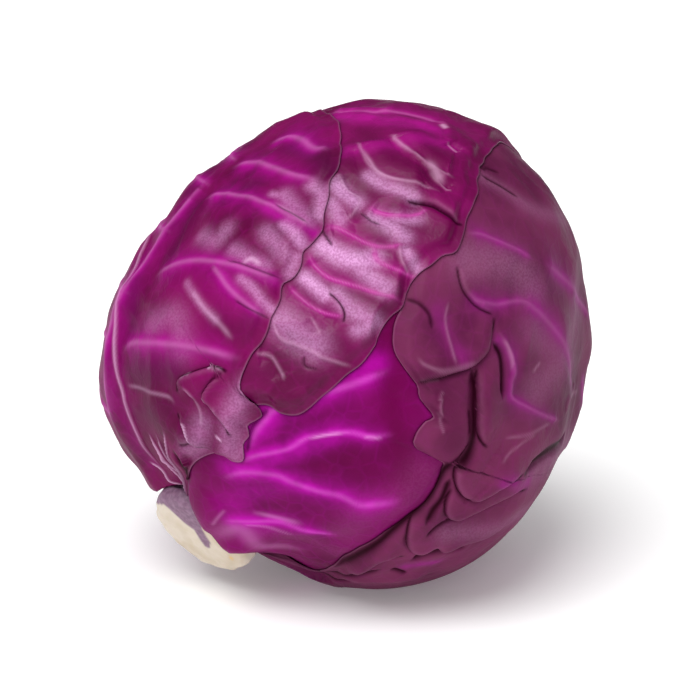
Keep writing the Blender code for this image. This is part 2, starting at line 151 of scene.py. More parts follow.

# %% [markdown]
# Each leaf is a list of facts. The margin, folds, midrib and waves are the CAD model's, and they decide
# how the leaves ride on each other. The edge is the finer outline that shows, and the strokes are the
# veins, ridges, folds, creases and stains that a grower would see, and painted highlights and painted
# shade. A stroke is (kind, height, width, points), with its sizes in mm. For a stain or painted light
# the height is its strength from 0 to 1. A fold is higher on the left of its path as seen from outside,
# like a lapped hem. The points are given one by one, because no rule gives the wrinkles of one leaf.
#
# The low front leaf is the innermost of the six. It is young, smooth and bright magenta, its base
# reaches down along the stump, and its neighbours lie over its other edges.

# %% Low front leaf
LOW_FRONT = {
    "name": "low_front_leaf", "cells": 210, "centre": (66, 22), "seed": 11,
    "margin": [(15, 25), (15, 0), (18, -18), (32, -17), (52, -40), (80, -46), (108, -32),
               (124, 4), (118, 44), (96, 70), (66, 82), (38, 84), (22, 80), (16, 55)],
    "midrib": [(14, 34), (34, 34), (62, 38), (92, 34)], "rib": 0.0018, "flare": (0.0105, 22, 54),
    "waves": (0.0, 5, 0.0),
    "folds": [(0.0012, 0.009, [(24, 6), (44, 2), (62, 8), (80, 20)]),
              (0.0012, 0.008, [(20, 20), (40, 18), (62, 24), (84, 30)])],
    "edge": [(11.5, 28), (10, 10), (10.5, -10), (14, -22), (21, -24.5), (27, -25), (31, -24), (36, -26),
             (52, -40), (80, -46), (108, -32), (124, 4), (118, 44), (96, 70), (66, 82), (44, 84),
             (33, 86), (28, 101), (22, 108), (15, 104), (11.5, 80), (11.5, 52)],
    "ragged": 0.06, "frill": 0.0, "swell": (0.5, 26), "crumple": (0.15, 16), "quilt": 0.0,
    "strokes": [
        ("vein", 0.25, 1.5, [(40, -6), (43.2, -3.1), (46.6, -0.6), (52.6, 5.2), (58.1, 7.1), (61.5, 9.6),
                            (65.9, 14.1), (68.7, 19), (73.3, 23.1)]),
        ("ridge", 0.3, 0.6, [(54.5, 5.6), (58.1, 7.1), (61.5, 9.6), (64.5, 12.4), (67, 16)]),
        ("vein", 0.25, 2.0, [(32, -8), (39.8, -0.4), (44.4, 8), (45.6, 14.2), (48.3, 21), (52.1, 26.7),
                            (54.2, 32.3), (58.3, 35.3), (64, 38.5)]),
        ("vein", 0.25, 1.6, [(20, 6), (23.1, 11.1), (27.6, 20.7), (33.3, 27.9), (37.3, 34.8), (44, 42)]),
        ("vein", 0.25, 2.0, [(45.4, -3.5), (51, -5.2), (55.2, -5), (59.3, -4.3), (66, 0), (74, 6), (84, 12)]),
        ("glow", 0.6, 4.5, [(38, -5), (42, 1), (50, 5), (58, 9), (64, 12)]),
        ("wine_and_painted_shade", 0.9, 6.0, [(92, 6), (84, 11), (77, 18), (71, 26), (68, 33)]),
        ("wine_and_painted_shade", 0.6, 5.0, [(60, 16), (62, 22), (64, 30)]),
        ("wine_and_painted_shade", 0.6, 4.0, [(34, -16), (26, -16), (18, -15)]),
        ("wine_and_painted_shade", 0.5, 4.0, [(47, 6), (51, 12), (55, 18)]),
        ("sheen", 0.68, 0.5, [(57.8, 7.5), (60, 8.8), (62.8, 11.1), (65.9, 14.1)]),
        ("sheen", 0.40, 0.6, [(67.1, 16.8), (68.5, 19.2), (70.4, 21.7)]),
        ("step", 1.0, 3.0, [(10.1, 7.2), (15, 5), (20.2, 3.2), (25.7, 3.6)]),
        ("sheen", 0.24, 1.0, [(28.5, 12.8), (31.2, 21.1), (34.7, 27.5), (38.6, 32.2)]),
        ("ridge", 0.4, 0.8, [(14, 30), (14.5, 48), (17, 66)]),
        ("crease", 0.5, 1.1, [(59, -6.2), (57.1, -6.1), (54.4, -6.6), (52.4, -7), (50.2, -6.4), (47.7, -5.2),
                              (44.6, -3.8)]),
        ("dip", 1.5, 2.4, [(79, 38), (75, 38.6), (71.5, 41), (66, 43.8), (60, 45), (54, 47.6), (48.5, 51.4),
                           (42, 56), (36, 63)]),
        ("glow", 0.6, 4.0, [(48, -5), (56, -4), (64, -2), (74, 4), (82, 8)]),
        ("glow", 0.3, 5.0, [(28, 4), (36, 8), (44, 14), (50, 22)]),
        ("bloom_and_highlight", 0.6, 7.0, [(46, 40), (54, 36), (62, 38), (70, 36)]),
        ("bloom_and_highlight", 0.6, 5.0, [(14, 0), (20, 10), (26, 26), (34, 42), (40, 52)]),
        ("ridge", 0.25, 0.9, [(18, 4), (21.5, 3.2), (24.9, 3.2)]),
        ("sheen", 0.18, 2.6, [(12.9, 7.4), (22.2, 17.6), (23.1, 39.6), (27.1, 50.2), (32.1, 54.3)]),
        ("crease", 0.3, 0.6, [(17.5, 35.8), (20, 47.9), (20.4, 62.5), (26.6, 69.7)]),
        ("ridge", 0.25, 0.9, [(24, 16), (28, 26), (33, 36)]),
    ],
}
print("low front leaf:", len(LOW_FRONT["strokes"]), "strokes")

# %% [markdown]
# Two wrapper leaves close the head behind. Nothing shows them from the front, so they are plain leaves
# of the same kind: a midrib, slightly wavy margins, and side veins that are added below by a rule. The
# back leaf's tip runs on under the crown leaf, so that no gap opens between the tips.

# %% Leaves behind
BACK = {
    "name": "back_leaf", "cells": 150, "centre": (82, 165), "seed": 12,
    "margin": [(15, 165), (16, 130), (34, 98), (62, 96), (96, 104), (128, 118), (148, 160),
               (140, -150), (108, -132), (72, -132), (38, -136), (17, -158)],
    "edge": [(15, 165), (16, 130), (34, 98), (62, 96), (96, 104), (128, 118), (148, 132), (163, 158),
             (158, -172), (144, -152), (108, -132), (72, -132), (38, -136), (17, -158)],
    "midrib": [(14, 165), (50, 165), (90, 163), (128, 160)], "rib": 0.0020,
    "waves": (0.0010, 9, 0.4), "folds": [],
    "ragged": 0.5, "frill": 0.5, "swell": (0.5, 22), "crumple": (0.6, 14), "quilt": 0.0,
    "strokes": [],
}
BACK_LEFT = {
    "name": "back_left_leaf", "cells": 150, "centre": (92, -138), "seed": 13,
    "margin": [(15, -138), (16, -172), (36, 168), (66, 162), (100, 164), (132, 176), (157, -150),
               (142, -92), (112, -80), (76, -84), (42, -92), (18, -104)],
    "midrib": [(14, -138), (52, -137), (96, -140), (136, -142)], "rib": 0.0020,
    "waves": (0.0014, 11, 1.9),
    "folds": [(0.0016, 0.011, [(60, -160), (90, -170), (118, -178)]),
              (0.0016, 0.011, [(56, -116), (88, -104), (112, -98)])],
    "ragged": 0.5, "frill": 0.5, "swell": (0.5, 22), "crumple": (0.6, 14), "quilt": 0.0,
    "strokes": [],
}
print("leaves behind:", BACK["name"], BACK_LEFT["name"])

# %% [markdown]
# The right leaf is the largest, dull and mauve. It wraps under the head and carries it. A flap and a
# strip of it lie over the low front leaf, and its lower right is crumpled into long folds, so most of
# its strokes are folds and the creases beside them, with painted shade in the creases. Its blooms are
# pale wax mixed with painted highlight.

# %% Right leaf
RIGHT_LEAF = {
    "name": "right_leaf", "cells": 294, "centre": (98, 82), "grid_turn": -37, "seed": 14,
    "margin": [(15, 110), (16, 84), (26, 72), (35, 61), (46, 49), (62, 43), (75, 35), (80, 25), (85, 16),
               (90, 8), (99, 4), (116, -6), (136, -18), (158, -30), (166, -100), (160, 170),
               (140, 158), (112, 154), (80, 154), (48, 156), (26, 154), (16, 142)],
    "edge": [(15, 113), (18, 106), (22, 101), (28, 96), (32.3, 75), (36.8, 61), (46.4, 49.8), (52.5, 46.8),
             (58.3, 44.9), (61, 44.2), (66, 43.4), (71.4, 40.7), (74.6, 38), (75.6, 35.8), (73.8, 29.4),
             (75.7, 26.8), (79.3, 25.7), (81.7, 26.4), (82.7, 21), (84.5, 18.4), (85.4, 14.4),
             (87, 9.8), (90.6, 6.4), (93, 5.2), (95.9, 4.5), (99, 3), (116, -6), (136, -18),
             (158, -30), (166, -100), (160, 170), (140, 158), (112, 154), (80, 154), (48, 156),
             (26, 154), (16, 142)],
    "midrib": [(15, 112), (48, 110), (90, 104), (128, 92)], "rib": 0.0020,
    "waves": (0.0008, 13, 0.7),
    "folds": [(0.0042, 0.0070, [(76, 44), (86, 51), (97, 58), (108, 68)]),
              (0.0042, 0.0068, [(66, 55), (78, 62), (90, 70), (102, 80)]),
              (0.0038, 0.0070, [(50, 62), (64, 72), (80, 82), (94, 93)]),
              (0.0032, 0.0065, [(104, 28), (100, 36), (98, 42), (100, 52), (103, 62)]),
              (0.0030, 0.0090, [(96, 14), (90, 15), (86, 20)]),
              (0.0030, 0.0065, [(88, 30), (80, 32), (74, 37)]),
              (0.0014, 0.0080, [(118, 30), (124, 50), (120, 72)])],
    "ragged": 0.12, "frill": 0.0, "swell": (0.6, 20), "crumple": (0.45, 12), "quilt": 0.3,
    "strokes": [
        ("body", 1.8, 9.0, [(74, 43), (82, 49), (91, 55), (100, 61)]),
        ("body", 1.4, 7.0, [(62, 55), (74, 61), (84, 67), (93, 73)]),
        ("body", 3.6, 9.0, [(146, 78), (138, 80.5), (130, 82.5), (122, 84.5), (115, 86), (108, 87.3),
                            (100, 88.6), (92, 90)]),
        ("dip", 4.5, 12.0, [(104, 88), (96, 89), (84, 91), (70, 93), (56, 96), (44, 98), (36, 102)]),
        ("fold", 1.8, 4.5, [(97, 27.1), (93.9, 30.2), (89.7, 34), (87, 36.6), (85.4, 39.6), (85.2, 42.9)]),
        ("fold", 2.4, 6.0, [(84.3, 37.4), (79.6, 39.1), (76.3, 41), (74.7, 43.8), (74.3, 47.5), (75.6, 50.2),
                            (78.3, 51.6), (81.3, 52.5), (84.9, 54.7), (88, 57)]),
        ("fold", 2.0, 6.0, [(74.1, 43.5), (71.5, 45), (69.5, 47.1), (68.5, 50.2), (69.7, 52.8), (73.2, 54.2),
                            (77.7, 56.6), (82.4, 59.5), (86.4, 64.4)]),
        ("fold", 2.2, 6.0, [(64.7, 43), (61, 45.8), (58.3, 49.8), (57, 54.6), (58.3, 58.1), (61.9, 58.6),
                            (62.8, 62.5), (66.3, 63.5), (70, 65.5), (74.8, 67.6), (80.7, 71.3)]),
        ("crease", 0.6, 0.7, [(61.1, 52.5), (64.4, 51.9), (67.8, 52.2), (69.8, 53.5)]),
        ("crease", 2.2, 1.7, [(86.5, 57), (90.5, 60.1), (93.5, 62.8), (97.3, 67.2), (101, 72.7), (104, 77)]),
        ("crease", 1.5, 1.5, [(54.5, 61.8), (58.2, 61.2), (61.8, 62.9), (67.1, 69)]),
        ("crease", 0.8, 0.9, [(49.6, 63.5), (50.9, 65.9), (52.3, 68.6)]),
        ("glow", 0.8, 2.0, [(53.4, 64.6), (56.6, 66.1), (59.6, 69.3)]),
        ("glow", 0.8, 2.4, [(82.4, 51.5), (83.9, 53.6), (84.6, 58.4), (86.8, 62.2)]),
        ("crease", 0.8, 1.7, [(83.5, 37.6), (79.2, 38.5), (74.9, 38.6), (71.2, 40.7), (67.5, 42.8),
                              (63.5, 43.9),
                              (59.1, 44.9), (55.3, 46.4), (51.6, 48.6), (46, 52), (40, 58), (35, 66)]),
        ("crease", 0.9, 1.3, [(74.6, 41.4), (72.6, 42.8), (69.7, 45), (66.3, 46.5), (62.8, 48.8)]),
        ("sheen", 0.36, 0.7, [(106.1, 28.3), (105.5, 31.5), (103.8, 35), (101.6, 36.9)]),
        ("ridge", 0.8, 1.4, [(105.9, 67.2), (108.9, 66.3), (113.6, 72.4), (116.7, 73.1)]),
        ("ridge", 0.5, 0.7, [(85.3, 17.8), (87, 19.4), (88.9, 21.2)]),
        ("ridge", 0.5, 0.6, [(84.8, 24.3), (86.4, 23.9), (87.4, 23.8)]),
        ("ridge", 0.5, 0.6, [(86.2, 24.3), (84.2, 25.4), (82.4, 26.8)]),
        ("crease", 0.6, 1.2, [(88.6, 31.6), (87.8, 32.5), (85.7, 34.9), (84.2, 36.7)]),
        ("body", 1.2, 7.0, [(95, 16), (90, 18), (84, 24), (78, 31)]),
        ("fold", 1.6, 4.0, [(39, 67), (44.3, 60.5), (49.5, 56), (54.8, 57.7)]),
        ("fold", 1.4, 4.0, [(36.8, 78), (42.9, 74), (50, 74), (58, 78)]),
        ("fold", 1.8, 6.0, [(84.2, 18.8), (85.9, 18.3), (89.5, 21), (92.2, 23), (95.4, 25.4),
                            (98.5, 26.6), (101, 27), (103.6, 26.1), (105.9, 25.2), (109.1, 23.6)]),
        ("fold", 0.9, 5.0, [(111.5, 9), (110.2, 10.3), (108.1, 14), (107.6, 17.8), (108.2, 21),
                            (109.1, 23.6)]),
        ("crease", 2.2, 2.0, [(96.2, 25.7), (93.2, 29.6), (89.7, 32.3), (87, 35), (84.2, 37.7),
                              (81.4, 39.6), (78.5, 40.4), (75.6, 40.6)]),
        ("crease", 1.0, 0.9, [(32, 77), (38, 70), (43, 65.5), (48, 62)]),
        ("crease", 0.8, 0.8, [(28, 86), (35, 80), (42, 74), (48, 72)]),
        ("crease", 0.5, 0.8, [(97.8, 3.6), (98.6, 7), (98.2, 10.4), (96, 13)]),
        ("crease", 0.6, 0.9, [(138.1, -0.3), (138.9, 4.1), (139.7, 9.5), (140.4, 15.8)]),
        ("bloom_and_highlight", 0.6, 6.0, [(90, 64), (96, 70), (102, 80), (104, 92)]),
        ("bloom_and_highlight", 0.5, 7.0, [(104, 48), (112, 52), (122, 56), (130, 60)]),
        ("bloom_and_highlight", 0.5, 4.0, [(66, 56), (74, 64), (82, 74)]),
        ("vein", 0.9, 1.1, [(107, 25.4), (105.8, 30.6), (104.7, 34.3), (102.4, 37.2), (99.5, 38.3),
                            (97.5, 40.7), (98.8, 47.2), (100.6, 54.6), (103.5, 64.1)]),
        ("glow", 0.9, 2.0, [(105.2, 29), (104.7, 34.3), (102.4, 37.2), (99.5, 38.3), (97.5, 40.7),
                            (98.8, 47.2)]),
        ("crease", 1.2, 1.2, [(104, 27), (103.2, 31), (100.8, 34), (97.6, 36.4), (95, 38)]),
        ("ridge", 0.4, 0.8, [(89, 44.9), (92.7, 49.5), (96.9, 54), (101.2, 59.5)]),
        ("ridge", 0.3, 0.7, [(84.3, 47.8), (87.8, 48.7), (91.6, 50.6), (95.7, 53.3)]),
        ("vein", 0.6, 1.0, [(118.5, 6.2), (121.1, 9), (122.8, 12.6), (125, 19), (127, 27)]),
        ("crease", 0.4, 0.9, [(140.1, -1.2), (143.1, 0.8), (145, 5.5)]),
        ("vein", 0.5, 1.6, [(128, 30), (130, 36.3), (131.6, 43.4), (132.8, 53.9), (134, 70.3), (131.9, 78)]),
        ("vein", 0.4, 1.2, [(108.6, 14), (108.4, 18), (111.4, 23.1), (115.9, 28.1), (118, 34)]),
        ("bloom_and_highlight", 0.5, 3.5, [(137.3, 0.5), (139, 9.2), (140.2, 19.4), (143.9, 30.4), (149.9, 46.1)]),
        ("bloom_and_highlight", 0.6, 7.0, [(114.2, 10.7), (118.2, 15.7), (121.6, 23.1), (121, 30)]),
        ("bloom_and_highlight", 0.4, 6.0, [(113.4, 36.8), (114.2, 46.8), (116.5, 59.6)]),
        ("sheen", 0.30, 0.5, [(105.4, 43.4), (107.8, 43.8), (109.9, 44.7)]),
        ("sheen", 0.25, 0.8, [(115.8, 81.1), (110.7, 67.8), (107.2, 67.8)]),
        ("shade", 1.0, 1.3, [(87.9, 57.9), (91.7, 60.4), (96.3, 64.1), (101.3, 71.8)]),
        ("wine_and_painted_shade", 0.6, 4.0, [(144.4, -2), (149.4, 5.9), (151, 19.3), (146.6, 23.4)]),
        ("vein", 0.3, 1.8, [(116, 26), (118, 40), (117, 56), (112, 72)]),
        ("ridge", 0.4, 1.0, [(89.1, 13.6), (88.9, 16.4), (90.5, 20.2), (95, 24.1), (98, 26.2)]),
        ("ridge", 0.3, 0.8, [(104, 12), (100, 14), (96, 19), (93, 22.6)]),
        ("glow", 0.5, 3.0, [(100, 12), (97, 17), (96, 22)]),
        ("wine_and_painted_shade", 0.7, 6.0, [(87.3, 21.6), (84.6, 27.3), (80.4, 33.1)]),
        ("ridge", 0.4, 0.6, [(84.6, 24.6), (82.6, 27.4), (80, 30.4)]),
    ],
}
print("right leaf:", len(RIGHT_LEAF["strokes"]), "strokes")

# %% [markdown]
# The crown leaf is thin, glossy and wrinkled over the top of the head. Its skin stands in small panels
# between magenta veins. The panels carry pale wax bloom mixed with painted highlight where they catch
# the light, and the hollows between them carry the leaf's deeper wine red and painted shade, so its
# strokes are mostly veins, blooms with painted highlight, and wine stains with painted shade.

# %% Crown leaf
CROWN = {
    "name": "crown_leaf", "cells": 282, "centre": (112, -52), "seed": 15,
    "margin": [(15, -82), (16, -58), (30, -38), (46, -20), (58, -7), (62, 1), (70, 4), (84, 6), (98, 4),
               (110, 4), (124, 3), (140, -2), (154, -4), (166, 0), (171, 110), (158, 172),
               (132, -160), (100, -146), (66, -134), (34, -118), (17, -110)],
    "edge": [(15, -82), (16, -58), (30, -38), (46, -22), (55, -12), (58.3, -8), (59.4, -5.6), (59.5, -2.4),
             (61.4, 1), (64.5, 2.4), (68.7, 3.2), (73.7, 4), (77, 4.5), (81.5, 5.6), (85.2, 5.3),
             (87.4, 4.3), (89.9, 3.8), (93.2, 4.1), (95.9, 4.5), (99.1, 3.5), (101.8, 3), (104.4, 3.1),
             (107.2, 4), (110.5, 4.8), (112.8, 6.3), (116, 6.2), (119.2, 5.4), (121, 4.7), (125.7, 3.6),
             (130.2, 2.8), (134.6, 0.3), (138, -0.6), (141.3, -2), (148, -2.6), (156, -3), (166, 0),
             (171, 110), (158, 172), (132, -160), (100, -146), (66, -134), (34, -118), (17, -110)],
    "midrib": [(15, -84), (58, -76), (100, -72), (140, -76)], "rib": 0.0016,
    "waves": (0.0, 5, 0.0),
    "folds": [(0.0022, 0.0055, [(124, -32), (118, -21), (119, -13), (123, -3)]),
              (0.0022, 0.0055, [(134, -32), (127, -18), (130, -5)]),
              (0.0018, 0.0055, [(104, -22), (98, -15), (97, -5), (99, 1)]),
              (0.0018, 0.0055, [(94, -21), (90, -13), (86, -3)]),
              (0.0016, 0.0060, [(82, -20), (78, -12), (74, -3)]),
              (0.0018, 0.0060, [(146, -60), (148, -34), (150, -12)]),
              (0.0014, 0.0070, [(150, 150), (140, 178), (122, -168)])],
    "ragged": 0.12, "frill": 0.2, "swell": (0.8, 22), "crumple": (0.9, 15), "quilt": 1.2,
    "strokes": [
        ("step", 2.0, 5.0, [(124.5, -35), (121, -29), (117.5, -23.8), (116.8, -17.7), (117.8, -11.8),
                            (121, -6)]),
        ("ridge", 0.5, 0.7, [(124.5, -35), (121.4, -29), (118.6, -23.8), (118, -17.7), (119.6, -11.8),
                             (122.7, -4.5)]),
        ("step", 1.8, 4.0, [(131.8, -31), (128.4, -22.8), (126.4, -16.7), (126.2, -11.6), (126.4, -7.2),
                            (127.5, -3.5)]),
        ("ridge", 0.6, 0.8, [(131.2, -30), (128.7, -22.8), (127.4, -16.7), (127.4, -11.6),
                             (127.8, -7.2), (129.5, -4.5)]),
        ("ridge", 0.6, 0.7, [(127, -12.2), (126.3, -9.4), (125.2, -6.3), (124.9, -2.8)]),
        ("ridge", 0.6, 0.9, [(139, -15.6), (138.7, -12.6), (138.5, -9.6)]),
        ("step", 0.9, 3.0, [(147, -27), (144.8, -23), (142.4, -18.6), (139, -17)]),
        ("fold", 1.8, 4.0, [(115.6, -10.4), (117.6, -7.6), (119, -4.7), (119.3, -1), (119.3, 2),
                            (120.1, 4.6)]),
        ("vein", 0.3, 0.5, [(109.6, -16.5), (109.9, -14.2), (110.8, -11.2), (112.6, -8.4), (115.1, -6.1),
                            (117.8, -4.6)]),
        ("vein", 0.4, 0.55, [(99, -21), (101.4, -19.4), (101.9, -17.1), (102.1, -12.5), (102.9, -8.8),
                            (105.2, -5.3), (107, -3)]),
        ("vein", 0.45, 0.55, [(93.6, -20.8), (91.7, -17.6), (91.1, -13.3), (92.1, -9.4), (93.4, -5.8),
                            (94.5, -1.9), (96, 1.7), (97, 4.4)]),
        ("vein", 0.35, 0.5, [(84.4, -19.6), (83.6, -14.7), (83.6, -11.3), (84.2, -8), (86, -4)]),
        ("vein", 0.3, 0.5, [(103, -9), (100.9, -6.8), (100.8, -3.9), (101.7, -0.3), (103.4, 3.4)]),
        ("ridge", 0.6, 0.8, [(106.4, -4.8), (103.5, -1.7), (102.4, 1.6)]),
        ("fold", 1.0, 3.0, [(84.6, -3.8), (86.4, -5), (87.5, -7.3), (88, -10.5)]),
        ("step", 1.2, 3.0, [(104, -17.4), (107, -18.2), (110.2, -19.8), (111.2, -23.6), (113.6, -29)]),
        ("ridge", 0.5, 0.7, [(103, -18.6), (106.2, -17.8), (110.6, -19.5), (110.8, -23.4), (112.9, -28.9)]),
        ("crease", 0.6, 0.5, [(99.4, -21.4), (98.3, -18.6), (97.6, -16.6)]),
        ("ridge", 0.9, 0.9, [(77.6, -17.6), (74.8, -15.4), (73.7, -12.6), (74.4, -9.7), (75.4, -5.9),
                             (76, -2.4), (78.6, 4.8)]),
        ("ridge", 0.8, 0.9, [(67.7, -16.2), (69.1, -12.7), (68.1, -9.4), (66.6, -6.2)]),
        ("ridge", 0.4, 0.7, [(81.6, -10.4), (80.8, -8.4), (79.6, -6)]),
        ("crease", 0.4, 0.4, [(73.9, -6.4), (72.1, -4.5), (73.3, -1.6)]),
        ("crease", 0.5, 0.4, [(107.8, -17), (107.2, -13.5), (107.6, -10.6)]),
        ("vein", 0.8, 2.6, [(132, -66), (136.6, -58), (138.6, -49), (141.8, -46.1), (144.2, -39.5),
                            (145.5, -28.3), (144.4, -20)]),
        ("glow", 0.8, 5.0, [(128, -62), (132, -54), (135, -44), (138, -34), (140, -24)]),
        ("glow", 0.5, 4.0, [(119, -34), (124, -28), (132, -22), (138, -14)]),
        ("bloom_and_highlight", 0.64, 3.0, [(109.9, -25.7), (109.2, -22.4), (109.2, -19.8)]),
        ("bloom_and_highlight", 0.48, 2.5, [(105.7, -23.4), (104.4, -21.2), (103.4, -19.4)]),
        ("bloom_and_highlight", 0.56, 3.0, [(108.7, -12.9), (108.5, -8.4), (108.3, -5.3)]),
        ("bloom_and_highlight", 0.48, 2.5, [(110.7, -9.7), (112.1, -7.3), (114, -5.7)]),
        ("bloom_and_highlight", 0.76, 3.4, [(96.3, -17.9), (96.7, -13), (98, -9.3), (99.9, -7.5)]),
        ("bloom_and_highlight", 0.56, 3.0, [(96.8, -8.3), (96.5, -4.3), (96.4, -1.4)]),
        ("bloom_and_highlight", 0.76, 2.6, [(87.9, -16.6), (87.7, -13.5), (87.5, -11.2)]),
        ("bloom_and_highlight", 0.48, 3.2, [(88.8, -8.7), (88.2, -4.5), (88.4, 0)]),
        ("bloom_and_highlight", 0.48, 2.5, [(85.5, -0.1), (87, 1.1), (89.5, 2)]),
        ("bloom_and_highlight", 0.40, 5.0, [(77, -14.9), (76.6, -10.2), (77, -5.8)]),
        ("bloom_and_highlight", 0.56, 2.0, [(105.9, -2.5), (105.4, -0.7), (104.7, 1.5)]),
        ("bloom_and_highlight", 0.48, 2.2, [(116.4, -21.6), (116.1, -16.1), (116.9, -12.1), (117.1, -9.7)]),
        ("sheen", 0.44, 1.0, [(144.7, -24.4), (144.2, -22.1), (143.8, -20.4)]),
        ("sheen", 0.28, 0.6, [(131.2, -30), (128.7, -22.8), (127.4, -16.7)]),
        ("sheen", 0.33, 1.3, [(126.6, -15), (127.5, -12.3), (126.4, -8.7), (125.3, -5.3)]),
        ("sheen", 0.28, 0.6, [(123.2, -32.7), (120.1, -25.8), (118.1, -21), (118.1, -16.8), (119.5, -12.7),
                             (121.6, -8), (122.7, -5)]),
        ("sheen", 0.28, 0.4, [(139, -15.6), (138.3, -12.2), (138.3, -9.4)]),
        ("wine_and_painted_shade", 0.8, 5.0, [(129.3, -37.1), (123.2, -23.7), (122.1, -16), (123.2, -11.5)]),
        ("wine_and_painted_shade", 0.8, 5.0, [(136.4, -31), (135, -22.4), (131.6, -14)]),
        ("wine_and_painted_shade", 0.8, 3.5, [(117.7, -29.5), (114.3, -22.8), (113.1, -17.6)]),
        ("wine_and_painted_shade", 0.7, 5.0, [(113, -4.9), (113.4, 0.8), (116.8, 3.5)]),
        ("wine_and_painted_shade", 0.6, 2.0, [(85, -16.7), (84.1, -11.3), (84.1, -6.9)]),
        ("wine_and_painted_shade", 0.7, 2.2, [(90.6, -14), (90.4, -10), (91.6, -5.1), (93.4, 1.2)]),
        ("wine_and_painted_shade", 0.6, 4.0, [(92.4, -0.3), (93.7, 2.5), (97.7, 2.7)]),
        ("wine_and_painted_shade", 0.7, 4.0, [(81, -4.1), (80.4, -1.3), (80.5, 0.6)]),
        ("wine_and_painted_shade", 0.6, 2.0, [(107.1, -16.5), (107.1, -13.6), (106, -10.8)]),
        ("wine_and_painted_shade", 0.6, 3.0, [(64, -14), (66, -8), (64, -3)]),
        ("wine_and_painted_shade", 0.6, 3.0, [(70, -3), (74, 0), (78, 2)]),
    ],
}
print("crown leaf:", len(CROWN["strokes"]), "strokes")

# %% [markdown]
# The left leaf is the outermost. Its thick midrib makes a raised band along the head's left side, strong
# magenta veins leave it, its lower margin is frilled, and torn fibres run down to the stump.

